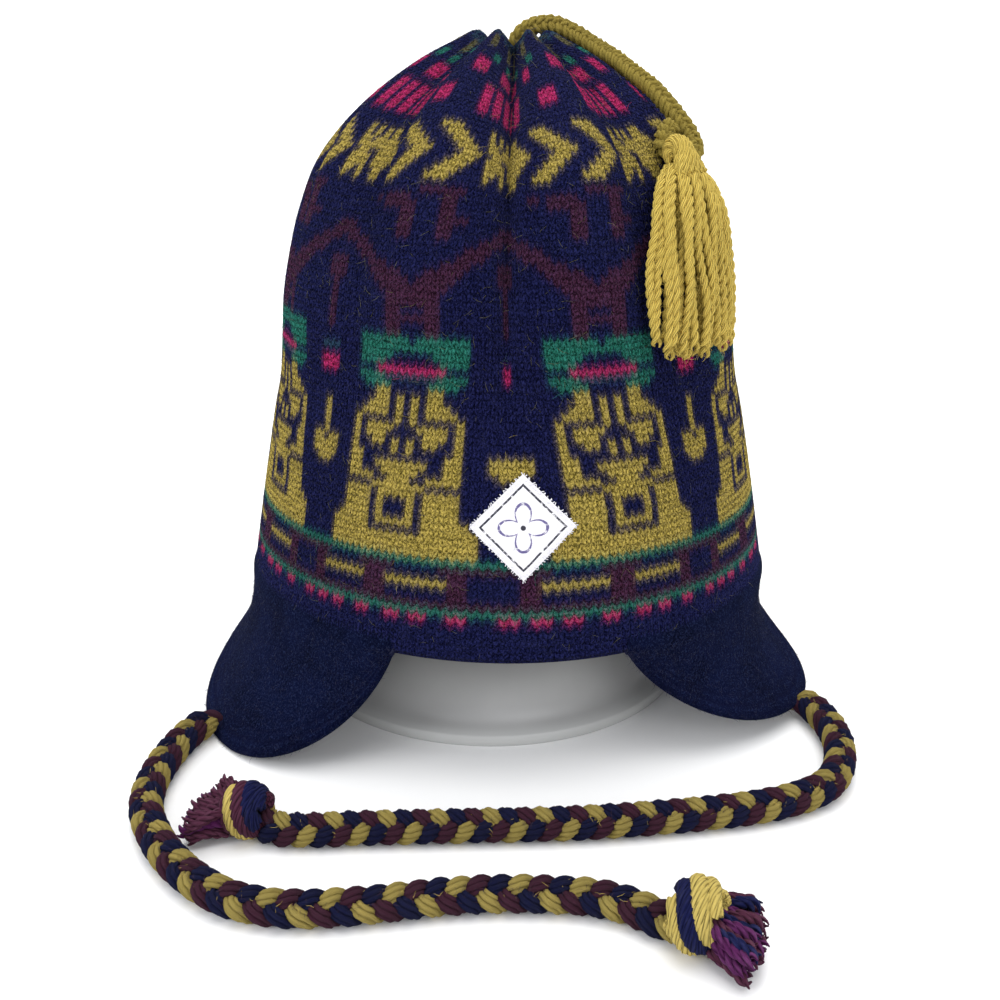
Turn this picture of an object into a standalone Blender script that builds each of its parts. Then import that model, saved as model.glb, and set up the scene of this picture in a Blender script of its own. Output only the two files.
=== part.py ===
"""A knitted chullo hat with ear flaps, braided ties and a tassel, on a plain round stand.

The hat's back faces -Y. Z = 0 is the surface that the stand rests on. Metres.
"""
from math import cos, hypot, pi, radians, sin

import bmesh
import bpy
from mathutils import Matrix, Vector
from mathutils.geometry import interpolate_bezier

# Crown
HEM_RADIUS = 0.0950
HEM_HEIGHT = 0.0440
CROWN_HEIGHT = 0.1835
KNIT_WALL = 0.0030
CROWN_AXIS_X = 0.0030
GATHER_DRIFT_X = 0.0015
GATHER_DRIFT_Y = -0.0020
FOLD_DEPTH = 0.0125
FOLD_SPAN = radians(22.5)
CROWN_SIDES = 96

# Ear flaps, whose tips reach a few FLAP_LIFT above the surface
FLAP_FLARE = 0.0215
FLAP_LIFT = 0.0006
FLAP_COLUMNS = 20
FLAP_ROWS = 9
FLAP_LEAST = 0.02
FLAP_FULLNESS = 0.8
FLAP_CURL = 1.8

# Label
LABEL_SIDE = 0.0228
LABEL_THICKNESS = 0.0008
LABEL_HEIGHT = 0.0853
LABEL_AZIMUTH = radians(2.6)
LABEL_TURN = radians(45.0)
LABEL_CELLS = 6

# Cords and what is on them
BRAID_DIAMETER = 0.0096
BRAID_LIFT = 0.0050
TOP_CORD_DIAMETER = 0.0060
KNOT_LENGTH = 0.0100
KNOT_RADIUS = 0.0102
KNOT_NARROWER = 0.84
KNOT_SIDES = 12
TUFT_LENGTH = 0.0138
TUFT_SPREAD = 0.0088
TUFT_CLEARANCE = 0.0008
TUFT_COLUMNS = 4
TUFT_HEAD_SHARE = 0.2
TUFT_RISE = 0.95
TUFT_FALL = 0.25
TUFT_THICKNESS = 1.2
TUFT_LOCKS = dict(uneven=0.22, beat=1.9, across=1.30, through=0.30)
TASSEL_TOP = 0.1846
TASSEL_FOOT = 0.1310
TASSEL_WIDTH = 0.0350
TASSEL_DEPTH = 0.0110
TASSEL_HEAD = 0.0130
TASSEL_TOP_AZIMUTH = radians(49.0)
TASSEL_FOOT_AZIMUTH = radians(43.0)
TASSEL_COLUMNS = 5
TASSEL_HEAD_WIDTH = 0.7
TASSEL_MIDDLE = 0.5
TASSEL_SPREAD = 0.8
TASSEL_LOCKS = dict(uneven=0.10, beat=2.3, across=0.40, through=0.10)

# The shared head of a row of locks: how far its top is drawn in, and the gap between locks
HEAD_ACROSS = 0.45
HEAD_THROUGH = 0.6
LOCK_GAP = 0.018

# Stand
STAND_RADIUS = 0.0730
STAND_AXIS_X = -0.0030
STAND_WALL = 0.0025
STAND_FOOT = 0.0060
LIP_HEIGHT = 0.0040
STAND_CAP = 0.5
STAND_SIDES = 40

# Touching pieces keep this gap.
GAP = 0.0003

# Sections of the crown from the hem to the bottom of the gathered pucker, as shares of
# the crown's height and hem radius, of the fold depth and of the drift of the gathers.
CROWN_SECTIONS = [
    dict(height=0.000, radius=1.000, fold=0.00, drift=0.00),
    dict(height=0.070, radius=0.976, fold=0.00, drift=0.00),
    dict(height=0.150, radius=0.948, fold=0.00, drift=0.00),
    dict(height=0.234, radius=0.917, fold=0.00, drift=0.00),
    dict(height=0.320, radius=0.885, fold=0.02, drift=0.00),
    dict(height=0.390, radius=0.856, fold=0.04, drift=0.00),
    dict(height=0.470, radius=0.842, fold=0.09, drift=0.00),
    dict(height=0.545, radius=0.830, fold=0.16, drift=0.02),
    dict(height=0.617, radius=0.804, fold=0.25, drift=0.06),
    dict(height=0.700, radius=0.762, fold=0.38, drift=0.14),
    dict(height=0.790, radius=0.688, fold=0.54, drift=0.30),
    dict(height=0.875, radius=0.548, fold=0.72, drift=0.55),
    dict(height=0.945, radius=0.368, fold=0.85, drift=0.80),
    dict(height=0.985, radius=0.212, fold=0.85, drift=1.00),
    dict(height=1.000, radius=0.130, fold=0.60, drift=1.00),
    dict(height=0.975, radius=0.082, fold=0.25, drift=1.00),
    dict(height=0.940, radius=0.052, fold=0.00, drift=1.00),
]
RISING_SECTIONS = CROWN_SECTIONS[:-2]
INNER_SECTIONS = 13
INNER_CAP = dict(height=0.912, radius=0.200, fold=0.00, drift=0.90)

# The gathers round the crown, turned from the back towards the right; depth is a share
# of FOLD_DEPTH.
GATHERS = [
    dict(azimuth=radians(-1), depth=1.00),
    dict(azimuth=radians(40), depth=0.62),
    dict(azimuth=radians(80), depth=1.00),
    dict(azimuth=radians(131), depth=0.70),
    dict(azimuth=radians(177), depth=0.85),
    dict(azimuth=radians(-137), depth=0.65),
    dict(azimuth=radians(-93), depth=0.80),
    dict(azimuth=radians(-44), depth=0.55),
]

FLAPS = {
    "left": dict(
        side=-1, inner=radians(23), tip=radians(58), outer=radians(108),
        round=2.3, flare=1.26, lift=1.0,
    ),
    "right": dict(
        side=1, inner=radians(23), tip=radians(66), outer=radians(106),
        round=2.0, flare=0.91, lift=9.0,
    ),
}

# The row of the crown's table from which its inner face follows the stand.
FIRST_SEAT = 9

# The stand from the floor to where the crown seats, as shares of the seat's height and
# of the stand's radius.
STAND_SECTIONS = [
    dict(height=0.070, radius=0.905),
    dict(height=0.200, radius=0.885),
    dict(height=0.450, radius=0.868),
    dict(height=0.700, radius=0.850),
]

# The routes of the cords: points chosen by hand, from where each leaves the hat.
TIE_ROUTES = {
    "left": [
        (-0.1010, -0.0659), (-0.1032, -0.0690), (-0.1054, -0.0745), (-0.1074, -0.0825),
        (-0.1088, -0.0925), (-0.1089, -0.1045), (-0.1064, -0.1168), (-0.1002, -0.1290),
        (-0.0926, -0.1396), (-0.0840, -0.1483), (-0.0741, -0.1553), (-0.0635, -0.1589),
        (-0.0531, -0.1601), (-0.0413, -0.1593), (-0.0281, -0.1573), (-0.0162, -0.1553),
        (-0.0027, -0.1541), (0.0108, -0.1541), (0.0243, -0.1553), (0.0345, -0.1588),
        (0.0415, -0.1635), (0.0462, -0.1662),
    ],
    "right": [
        (0.1087, -0.0531), (0.1103, -0.0572), (0.1117, -0.0624), (0.1126, -0.0690),
        (0.1122, -0.0800), (0.1085, -0.0930), (0.1018, -0.1030), (0.0915, -0.1095),
        (0.0800, -0.1137), (0.0662, -0.1167), (0.0478, -0.1195), (0.0297, -0.1217),
        (0.0118, -0.1229), (-0.0059, -0.1235), (-0.0236, -0.1241), (-0.0413, -0.1247),
        (-0.0540, -0.1256), (-0.0636, -0.1254), (-0.0700, -0.1232),
    ],
}
TOP_CORD_ROUTE = [
    (0.0045, -0.0020, 0.2176), (0.0046, -0.0021, 0.2218), (0.0068, -0.0022, 0.2262),
    (0.0115, -0.0024, 0.2288), (0.0180, -0.0036, 0.2290), (0.0248, -0.0058, 0.2260),
    (0.0310, -0.0094, 0.2221), (0.0370, -0.0138, 0.2184), (0.0427, -0.0187, 0.2140),
    (0.0485, -0.0242, 0.2094), (0.0534, -0.0289, 0.2038), (0.0568, -0.0315, 0.1995),
]
CORD_LOOP = [
    (0.0593, -0.0333, 0.1958), (0.0604, -0.0374, 0.1916), (0.0576, -0.0420, 0.1894),
    (0.0533, -0.0451, 0.1902), (0.0500, -0.0440, 0.1937), (0.0508, -0.0402, 0.1973),
    (0.0530, -0.0375, 0.1989),
]

# How far each tie's loose ends turn from the way that its braid ends.
TUFT_TURNS = {"left": radians(20), "right": radians(0)}

# The cords' points are this many diameters apart, closer on the tight end loop.
TIE_STEP = 2.0
TOP_CORD_STEP = 1.0

# Each stretch of a drawn-out lock: its share of the length and how far it narrows.
LOCK_STEPS = [(0.3, 1.05), (0.3, 1.0), (0.25, 0.92), (0.15, 0.6)]

# A knot's profile: shares of its length and of its radius.
KNOT_PROFILE = [(0.0, 0.55), (0.12, 0.82), (0.35, 1.0), (0.65, 1.0), (0.88, 0.82), (1.0, 0.55)]


def clear_scene():
    for old in list(bpy.data.objects):
        bpy.data.objects.remove(old, do_unlink=True)


def material(name, colour, roughness, metallic=0.0):
    made = bpy.data.materials.new(name)
    made.use_nodes = True
    shader = made.node_tree.nodes["Principled BSDF"]
    shader.inputs["Base Color"].default_value = (*colour, 1.0)
    shader.inputs["Roughness"].default_value = roughness
    shader.inputs["Metallic"].default_value = metallic
    return made


def add_object(name, bm, finish):
    """Turn a bmesh into a named, smooth-shaded object with one material."""
    bmesh.ops.recalc_face_normals(bm, faces=bm.faces)
    if bm.calc_volume(signed=True) < 0:
        bmesh.ops.reverse_faces(bm, faces=bm.faces)
    mesh = bpy.data.meshes.new(name)
    bm.to_mesh(mesh)
    bm.free()
    mesh.shade_smooth()
    mesh.materials.append(finish)
    made = bpy.data.objects.new(name, mesh)
    bpy.context.scene.collection.objects.link(made)
    return made


def loft(bm, sections):
    """Draw a ring of edges out through matching rings of points, and close both ends."""
    corners = [bm.verts.new(point) for point in sections[0]]
    edges = [bm.edges.new(pair) for pair in zip(corners, corners[1:] + corners[:1])]
    ends = [corners]
    for points in sections[1:]:
        drawn = bmesh.ops.extrude_edge_only(bm, edges=edges)["geom"]
        fresh = {item for item in drawn if isinstance(item, bmesh.types.BMVert)}
        edges = [
            item for item in drawn
            if isinstance(item, bmesh.types.BMEdge) and fresh.issuperset(item.verts)
        ]
        corners = [
            next(edge.other_vert(old) for edge in old.link_edges if edge.other_vert(old) in fresh)
            for old in corners
        ]
        for corner, point in zip(corners, points):
            corner.co = point
    ends.append(corners)
    for corners in ends:
        bmesh.ops.poke(bm, faces=[bm.faces.new(corners)])


def azimuth_direction(azimuth):
    """Azimuth 0 is the hat's back, -Y, and +X is to its right."""
    return Vector((sin(azimuth), -cos(azimuth), 0))


def angle_between(a, b):
    return abs((a - b + pi) % (2 * pi) - pi)


def crease(azimuth):
    """How deep the gathers are at an azimuth, from 0 on a lobe to 1 in the deepest."""
    return max(
        fold["depth"] * max(0, 1 - angle_between(azimuth, fold["azimuth"]) / FOLD_SPAN) ** 1.5
        for fold in GATHERS
    )


def section_between(height):
    """The crown's section at a share of its height, between the table's rows."""
    for low, high in zip(RISING_SECTIONS, RISING_SECTIONS[1:]):
        if height <= high["height"]:
            share = (height - low["height"]) / (high["height"] - low["height"])
            return {key: low[key] + share * (high[key] - low[key]) for key in low}
    return RISING_SECTIONS[-1]


def section_normal(index):
    """Outward direction of the crown's profile at a section, as (radial, up)."""
    before = CROWN_SECTIONS[max(index - 1, 0)]
    after = CROWN_SECTIONS[min(index + 1, len(CROWN_SECTIONS) - 1)]
    along = Vector((
        (after["radius"] - before["radius"]) * HEM_RADIUS,
        (after["height"] - before["height"]) * CROWN_HEIGHT,
    )).normalized()
    return along.y, -along.x


def crown_point(section, azimuth, normal, inset=0.0, depth=None):
    """A point of the crown's wall, inset from its outer face; depth overrides the creases."""
    sunk = section.get("fold", 0) * FOLD_DEPTH * (crease(azimuth) if depth is None else depth)
    out, up = normal
    radius = section["radius"] * HEM_RADIUS - (sunk + inset) * out
    height = HEM_HEIGHT + section["height"] * CROWN_HEIGHT - (sunk + inset) * up
    middle = Vector((
        CROWN_AXIS_X + section["drift"] * GATHER_DRIFT_X,
        section["drift"] * GATHER_DRIFT_Y,
        height,
    ))
    return middle + azimuth_direction(azimuth) * radius


def crown_section(index, inset=0.0):
    """The ring of points of one row of the crown's table."""
    turns = [2 * pi * i / CROWN_SIDES for i in range(CROWN_SIDES)]
    normal = section_normal(index)
    return [crown_point(CROWN_SECTIONS[index], turn, normal, inset) for turn in turns]


def build_crown(finish):
    outer = [crown_section(i) for i in range(len(CROWN_SECTIONS))]
    inner = [crown_section(i, KNIT_WALL) for i in range(INNER_SECTIONS)]
    for point in inner[0]:
        point.z = HEM_HEIGHT
    turns = [2 * pi * i / CROWN_SIDES for i in range(CROWN_SIDES)]
    cap = [crown_point(INNER_CAP, turn, (1, 0)) for turn in turns]
    bm = bmesh.new()
    loft(bm, [cap] + inner[::-1] + outer)
    return add_object("crown", bm, finish)


def build_flap(name, flap, finish):
    """A flared tongue below the hem, deepest at its tip."""
    hang = HEM_HEIGHT - GAP

    def depth_at(azimuth):
        span = flap["inner"] if azimuth < flap["tip"] else flap["outer"]
        share = min(1, abs(azimuth - flap["tip"]) / abs(span - flap["tip"]))
        return max(FLAP_LEAST, (1 - share ** flap["round"]) ** FLAP_FULLNESS)

    def place(column, row, inset):
        azimuth = flap["inner"] + (flap["outer"] - flap["inner"]) * column / FLAP_COLUMNS
        fall = depth_at(azimuth) * row / FLAP_ROWS
        low = FLAP_LIFT * flap["lift"]
        height = hang - (hang - low) * fall
        radius = HEM_RADIUS + FLAP_FLARE * flap["flare"] * fall ** FLAP_CURL - inset
        middle = Vector((CROWN_AXIS_X, 0, height))
        return middle + azimuth_direction(flap["side"] * azimuth) * radius

    sections = []
    for column in range(FLAP_COLUMNS + 1):
        outer = [place(column, row, 0) for row in range(FLAP_ROWS + 1)]
        inner = [place(column, row, KNIT_WALL) for row in range(FLAP_ROWS + 1)]
        sections.append(outer + inner[::-1])
    bm = bmesh.new()
    loft(bm, sections)
    return add_object(name, bm, finish)


def on_crown(height, azimuth, along, lift):
    """A place over the crown's unfolded face, a length along its girth from the azimuth."""
    share = (height - HEM_HEIGHT) / CROWN_HEIGHT
    index = next(i for i, row in enumerate(RISING_SECTIONS) if share <= row["height"])
    section = section_between(share)
    out, up = section_normal(index)
    flat = section["radius"] * HEM_RADIUS
    middle = Vector((
        CROWN_AXIS_X + section["drift"] * GATHER_DRIFT_X,
        section["drift"] * GATHER_DRIFT_Y,
        height + lift * up,
    ))
    return middle + azimuth_direction(azimuth + along / flat) * (flat + lift * out)


def build_label(finish):
    """A thin square of cloth, point down, that follows the crown."""
    half = LABEL_SIDE / 2
    turn = Matrix.Rotation(LABEL_TURN, 2)

    def place(u, v, lift):
        flat = turn @ Vector((u, v))
        return on_crown(LABEL_HEIGHT + flat.y, LABEL_AZIMUTH, flat.x, lift)

    bm = bmesh.new()
    steps = [-half + LABEL_SIDE * i / LABEL_CELLS for i in range(LABEL_CELLS + 1)]
    rows = []
    for v in steps:
        front = [place(u, v, GAP + LABEL_THICKNESS) for u in steps]
        back = [place(u, v, GAP) for u in reversed(steps)]
        rows.append(front + back)
    loft(bm, rows)
    return add_object("label", bm, finish)


def smooth_route(points, step):
    """Points a step apart along a smooth curve through the route's own points."""
    route = [Vector(point) for point in points]
    ahead = [route[0] * 2 - route[1]] + route + [route[-1] * 2 - route[-2]]
    fine = [route[0]]
    for before, start, end, after in zip(ahead, ahead[1:], ahead[2:], ahead[3:]):
        first = start + (end - before) / 6
        second = end - (after - start) / 6
        fine += interpolate_bezier(start, first, second, end, 17)[1:]
    lengths = [0.0]
    for a, b in zip(fine, fine[1:]):
        lengths.append(lengths[-1] + (b - a).length)
    count = round(lengths[-1] / step)
    spaced, at = [], 0
    for i in range(count + 1):
        wanted = lengths[-1] * i / count
        while at < len(fine) - 2 and lengths[at + 1] < wanted:
            at += 1
        share = (wanted - lengths[at]) / (lengths[at + 1] - lengths[at])
        spaced.append(fine[at].lerp(fine[at + 1], share))
    return spaced


def build_tube(name, points, diameter, finish, resolution):
    """A plain round tube along the points, with filled ends."""
    curve = bpy.data.curves.new(name, "CURVE")
    curve.dimensions = "3D"
    curve.bevel_depth = diameter / 2
    curve.bevel_resolution = resolution
    curve.use_fill_caps = True
    spline = curve.splines.new("POLY")
    spline.points.add(len(points) - 1)
    for knot, point in zip(spline.points, points):
        knot.co = (*point, 1)
    curve.materials.append(finish)
    made = bpy.data.objects.new(name, curve)
    bpy.context.scene.collection.objects.link(made)
    return made


def turned_to(direction):
    """A rotation whose X runs along the direction and whose Z stays up."""
    along = Vector(direction).normalized()
    across = Vector((0, 0, 1)).cross(along).normalized()
    return Matrix((along, across, along.cross(across))).transposed()


def build_knot(name, start, direction, radius, finish):
    """A barrel of wrapped strands round the braid's end, resting on the surface."""
    frame = turned_to(direction)
    angles = [2 * pi * i / KNOT_SIDES for i in range(KNOT_SIDES)]
    bm = bmesh.new()
    sections = []
    for along, wide in KNOT_PROFILE:
        middle = Vector(start) + frame @ Vector((KNOT_LENGTH * along, 0, 0))
        middle.z = GAP + radius
        ring = [Vector((0, radius * wide * cos(a), radius * wide * sin(a))) for a in angles]
        sections.append([middle + frame @ point for point in ring])
    loft(bm, sections)
    return add_object(name, bm, finish)


def build_locks(name, head, columns, locks, finish):
    """A flat-sided head whose lower faces are drawn out into tapering locks.

    head maps (share across, share through, share along) to a place; each row of locks
    gives its share of the length, and its drift across and through as shares of a cell.
    """
    bm = bmesh.new()
    bmesh.ops.create_grid(bm, x_segments=columns, y_segments=2, size=0.5)
    bottom = list(bm.faces)
    shell = bmesh.ops.extrude_face_region(bm, geom=bottom)
    top = [item for item in shell["geom"] if isinstance(item, bmesh.types.BMVert)]
    for corner in top:
        corner.co.z = -1
        corner.co.x *= HEAD_ACROSS
        corner.co.y *= HEAD_THROUGH
    bmesh.ops.recalc_face_normals(bm, faces=bm.faces)
    under = [face for face in bm.faces if face.normal.z > 0.9]
    under.sort(key=lambda face: tuple(round(part, 4) for part in face.calc_center_median()[:2]))
    bmesh.ops.inset_individual(bm, faces=under, thickness=LOCK_GAP)
    for face, lock in zip(under, locks):
        for step, narrow in LOCK_STEPS:
            drawn = bmesh.ops.extrude_discrete_faces(bm, faces=[face])
            face = drawn["faces"][0]
            middle = face.calc_center_median()
            drift = Vector((lock["across"], lock["through"], lock["length"])) * step
            for corner in face.verts:
                corner.co = middle + (corner.co - middle) * narrow + drift
    for corner in bm.verts:
        corner.co = head(corner.co.x, corner.co.y, corner.co.z)
    return add_object(name, bm, finish)


def spread_locks(columns, kind):
    """Two rows of locks, uneven in length, that fan out from the middle."""
    locks = []
    for i in range(columns * 2):
        share = (i // 2) / (columns - 1) - 0.5
        locks.append(dict(
            length=1.0 - kind["uneven"] * abs(sin(kind["beat"] * i)),
            across=kind["across"] * share,
            through=kind["through"] * (1 if i % 2 else -1),
        ))
    return locks


def build_tassel(finish):
    """The tassel lies on the crown, so its places are read over the crown's face."""

    def place(x, y, z):
        drop = TASSEL_TOP - TASSEL_FOOT
        down = TASSEL_HEAD * (1 + z) if z < 0 else TASSEL_HEAD + (drop - TASSEL_HEAD) * z
        wide = TASSEL_WIDTH * (TASSEL_HEAD_WIDTH + (1 - TASSEL_HEAD_WIDTH) * min(1, 2 * max(z, 0)))
        swing = TASSEL_FOOT_AZIMUTH - TASSEL_TOP_AZIMUTH
        azimuth = TASSEL_TOP_AZIMUTH + swing * down / drop
        lift = GAP * 2 + TASSEL_DEPTH * (TASSEL_MIDDLE + y * TASSEL_SPREAD)
        return on_crown(TASSEL_TOP - down, azimuth, x * wide, lift)

    locks = spread_locks(TASSEL_COLUMNS, TASSEL_LOCKS)
    return build_locks("tassel", place, TASSEL_COLUMNS, locks, finish)


def build_tuft(name, start, direction, radius, finish):
    """Short ends beyond a knot, spread on the surface."""
    frame = turned_to(direction)

    def place(x, y, z):
        head = TUFT_HEAD_SHARE
        ahead = TUFT_LENGTH * (head * (1 + z) if z < 0 else head + (1 - head) * z)
        lift = radius * (TUFT_RISE - TUFT_FALL * max(z, 0))
        spot = Vector(start) + frame @ Vector((ahead, TUFT_SPREAD * x, 0))
        spot.z = GAP + lift + y * radius * TUFT_THICKNESS
        return spot

    locks = spread_locks(TUFT_COLUMNS, TUFT_LOCKS)
    return build_locks(name, place, TUFT_COLUMNS, locks, finish)


def build_tie(side, knot_radius, finish, knot_finish, tuft_finish):
    """One braid on the surface, with its knot and loose ends."""
    route = [(x, y, BRAID_LIFT) for x, y in TIE_ROUTES[side]]
    points = smooth_route(route, BRAID_DIAMETER * TIE_STEP)
    build_tube(f"tie_{side}", points, BRAID_DIAMETER, finish, 2)
    ahead = (points[-1] - points[-2]).normalized()
    start = points[-1] + ahead * GAP
    build_knot(f"knot_{side}", start, ahead, knot_radius, knot_finish)
    loose = start + ahead * (KNOT_LENGTH + TUFT_CLEARANCE)
    outward = Matrix.Rotation(TUFT_TURNS[side], 3, "Z") @ ahead
    build_tuft(f"tuft_{side}", loose, outward, knot_radius, tuft_finish)


def stand_seat(section, sunk, normal):
    """Where the stand meets the crown's inner face, clear of it all round."""
    out, up = normal
    drift = section["drift"] * hypot(GATHER_DRIFT_X, GATHER_DRIFT_Y)
    shift = abs(CROWN_AXIS_X - STAND_AXIS_X) + drift
    return (
        section["radius"] * HEM_RADIUS - sunk * out - shift,
        HEM_HEIGHT + section["height"] * CROWN_HEIGHT - sunk * up,
    )


def stand_profile():
    """The stand's outer profile, as (radius, height), up to where the crown's folds seat."""
    seats = []
    for index in range(FIRST_SEAT, INNER_SECTIONS):
        sunk = CROWN_SECTIONS[index]["fold"] * FOLD_DEPTH + KNIT_WALL + GAP
        seats.append(stand_seat(CROWN_SECTIONS[index], sunk, section_normal(index)))
    seats.append(stand_seat(INNER_CAP, GAP, (0, 1)))
    points = [(STAND_RADIUS, 0), (STAND_RADIUS, LIP_HEIGHT)]
    for row in STAND_SECTIONS:
        points.append((row["radius"] * STAND_RADIUS, row["height"] * seats[0][1]))
    return points + seats


def build_stand(finish):
    """A plain hollow dome on a low lip, open below."""
    outer = stand_profile()
    inner = [(STAND_RADIUS - STAND_FOOT, 0)]
    for (r0, z0), (r1, z1), (r2, z2) in zip(outer[1:], outer[2:], outer[3:]):
        along = Vector((r2 - r0, z2 - z0)).normalized()
        inner.append((r1 - STAND_WALL * along.y, z1 + STAND_WALL * along.x))
    inner.append((outer[-1][0] * STAND_CAP, outer[-1][1] - STAND_WALL))

    def circle(radius, height):
        angles = [2 * pi * i / STAND_SIDES for i in range(STAND_SIDES)]
        return [(STAND_AXIS_X + radius * cos(a), radius * sin(a), height) for a in angles]

    bm = bmesh.new()
    loft(bm, [circle(*point) for point in inner[::-1] + outer])
    return add_object("stand", bm, finish)


def build():
    clear_scene()
    navy = material("navy_wool", (0.022, 0.020, 0.065), 0.95)
    gold = material("gold_wool", (0.270, 0.180, 0.045), 0.95)
    burgundy = material("burgundy_wool", (0.080, 0.018, 0.028), 0.95)
    white = material("white_cloth", (0.750, 0.740, 0.760), 0.85)
    grey = material("grey_stand", (0.420, 0.420, 0.430), 0.55)
    build_stand(grey)
    build_crown(navy)
    for side, flap in FLAPS.items():
        build_flap(f"ear_flap_{side}", flap, navy)
    build_label(white)
    cord = smooth_route(TOP_CORD_ROUTE + CORD_LOOP, TOP_CORD_DIAMETER * TOP_CORD_STEP)
    build_tube("top_cord", cord, TOP_CORD_DIAMETER, gold, 2)
    build_tassel(gold)
    build_tie("left", KNOT_RADIUS, burgundy, gold, burgundy)
    build_tie("right", KNOT_RADIUS * KNOT_NARROWER, burgundy, burgundy, burgundy)


build()
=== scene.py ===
"""A knitted chullo hat with ear flaps, braided ties and a tassel, on a plain round stand.

The hat's back faces -Y, as in the photograph. Metres; Z = 0 is the surface under the stand.
"""
from math import cos, pi, radians, sin

import bmesh
import bpy
import numpy as np
from mathutils import Matrix, Vector


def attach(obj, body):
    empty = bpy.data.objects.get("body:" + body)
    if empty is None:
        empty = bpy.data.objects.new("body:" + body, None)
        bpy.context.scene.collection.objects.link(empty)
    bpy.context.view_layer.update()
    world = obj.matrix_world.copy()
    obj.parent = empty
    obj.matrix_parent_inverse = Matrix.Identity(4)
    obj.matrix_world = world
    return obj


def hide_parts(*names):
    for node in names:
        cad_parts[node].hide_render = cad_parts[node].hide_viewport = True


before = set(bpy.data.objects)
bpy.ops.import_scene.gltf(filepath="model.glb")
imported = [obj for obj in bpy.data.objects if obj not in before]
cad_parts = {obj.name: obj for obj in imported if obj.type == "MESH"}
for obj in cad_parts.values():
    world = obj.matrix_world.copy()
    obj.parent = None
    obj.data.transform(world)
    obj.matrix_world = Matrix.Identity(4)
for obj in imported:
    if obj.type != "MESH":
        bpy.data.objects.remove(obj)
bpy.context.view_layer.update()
scene = bpy.context.scene

# Camera, floor and light
# A photographer's table: one sheet of white board that curves up behind the hat, and soft
# light from above, from the left, from behind the camera and on the board behind the hat.
CAMERA_PLACE = (0.0, -0.41, 0.2116)
CAMERA_TILT = radians(70)
FOCAL_PIXELS = 1150.0
PHOTO_PIXELS = 1000.0
SENSOR_WIDTH = 36.0

camera_data = bpy.data.cameras.new("camera")
camera_data.sensor_width = SENSOR_WIDTH
camera_data.lens = FOCAL_PIXELS / PHOTO_PIXELS * SENSOR_WIDTH
camera_data.clip_start = 0.01
camera = bpy.data.objects.new("camera", camera_data)
camera.location = CAMERA_PLACE
camera.rotation_euler = (CAMERA_TILT, 0, 0)
scene.collection.objects.link(camera)
scene.camera = camera
scene.view_settings.view_transform = "Standard"


class Socket:
    """One value in a material's nodes. Arithmetic on it adds the Math node that does it."""

    def __init__(self, tree, source=None):
        self.tree = tree
        self.source = source

    def node(self, kind, settings=None, inputs=None, output=0):
        """Add any node: its settings first, then the values or links of its sockets."""
        made = self.tree.nodes.new(kind)
        for name, value in (settings or {}).items():
            setattr(made, name, value)
        for name, value in (inputs or {}).items():
            if isinstance(value, Socket):
                self.tree.links.new(value.source, made.inputs[name])
            elif isinstance(value, tuple) and len(value) == 3 and made.inputs[name].type == "RGBA":
                made.inputs[name].default_value = (*value, 1.0)
            else:
                made.inputs[name].default_value = value
        return Socket(self.tree, made.outputs[output])

    def maths(self, operation, first, second=0.0):
        return self.node("ShaderNodeMath", {"operation": operation}, {0: first, 1: second})

    def __add__(self, other):
        return self.maths("ADD", self, other)

    def __sub__(self, other):
        return self.maths("SUBTRACT", self, other)

    def __rsub__(self, other):
        return self.maths("SUBTRACT", other, self)

    def __mul__(self, other):
        return self.maths("MULTIPLY", self, other)

    __radd__ = __add__
    __rmul__ = __mul__

    def __truediv__(self, other):
        return self.maths("DIVIDE", self, other)

    def __rtruediv__(self, other):
        return self.maths("DIVIDE", other, self)

    def __pow__(self, other):
        return self.maths("POWER", self, other)

    def __abs__(self):
        return self.maths("ABSOLUTE", self)

    def __lt__(self, other):
        return self.maths("LESS_THAN", self, other)

    def larger(self, other):
        return self.maths("MAXIMUM", self, other)

    def fraction(self):
        return self.maths("FRACT", self)

    def whole(self):
        return self.maths("FLOOR", self)

    def sine(self):
        return self.maths("SINE", self)

    def between(self, low, high):
        """0 below low, 1 above high, and smooth in between."""
        inputs = {"Value": self, "From Min": low, "From Max": high}
        return self.node("ShaderNodeMapRange", {"interpolation_type": "SMOOTHSTEP"}, inputs)

    def blend(self, first, second):
        """The first colour where this value is 0, the second where it is 1."""
        settings = {"data_type": "RGBA"}
        return self.node("ShaderNodeMix", settings, {0: self, 6: first, 7: second}, 2)

    def scaled(self, factors, plus=(0.0, 0.0, 0.0)):
        """A colour times a factor for each channel, plus a colour."""
        return self.node("ShaderNodeVectorMath", {"operation": "MULTIPLY_ADD"}, {
            0: self, 1: factors, 2: plus})

    def parts(self):
        return [self.node("ShaderNodeSeparateXYZ", None, {0: self}, axis) for axis in range(3)]

    def vector(self, x, y, z=0.0):
        return self.node("ShaderNodeCombineXYZ", None, {0: x, 1: y, 2: z})

    def noise(self, place, scale, detail=2.0, roughness=0.5):
        inputs = {"Vector": place, "Scale": scale, "Detail": detail, "Roughness": roughness}
        return self.node("ShaderNodeTexNoise", None, inputs)

    def bump(self, height, distance, strength=1.0):
        inputs = {"Height": height, "Distance": distance, "Strength": strength}
        return self.node("ShaderNodeBump", None, inputs)


def new_material(name, **constants):
    """A material, its principled shader's sockets and a Socket to build its nodes from."""
    made = bpy.data.materials.new(name)
    made.use_nodes = True
    shader = made.node_tree.nodes["Principled BSDF"]
    for socket, value in constants.items():
        shader.inputs[socket.replace("_", " ")].default_value = value
    return made, shader, Socket(made.node_tree)


def feed(shader, **sources):
    for socket, value in sources.items():
        shader.id_data.links.new(value.source, shader.inputs[socket.replace("_", " ")])


def object_place(start):
    return start.node("ShaderNodeTexCoord", None, None, 3)


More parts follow.
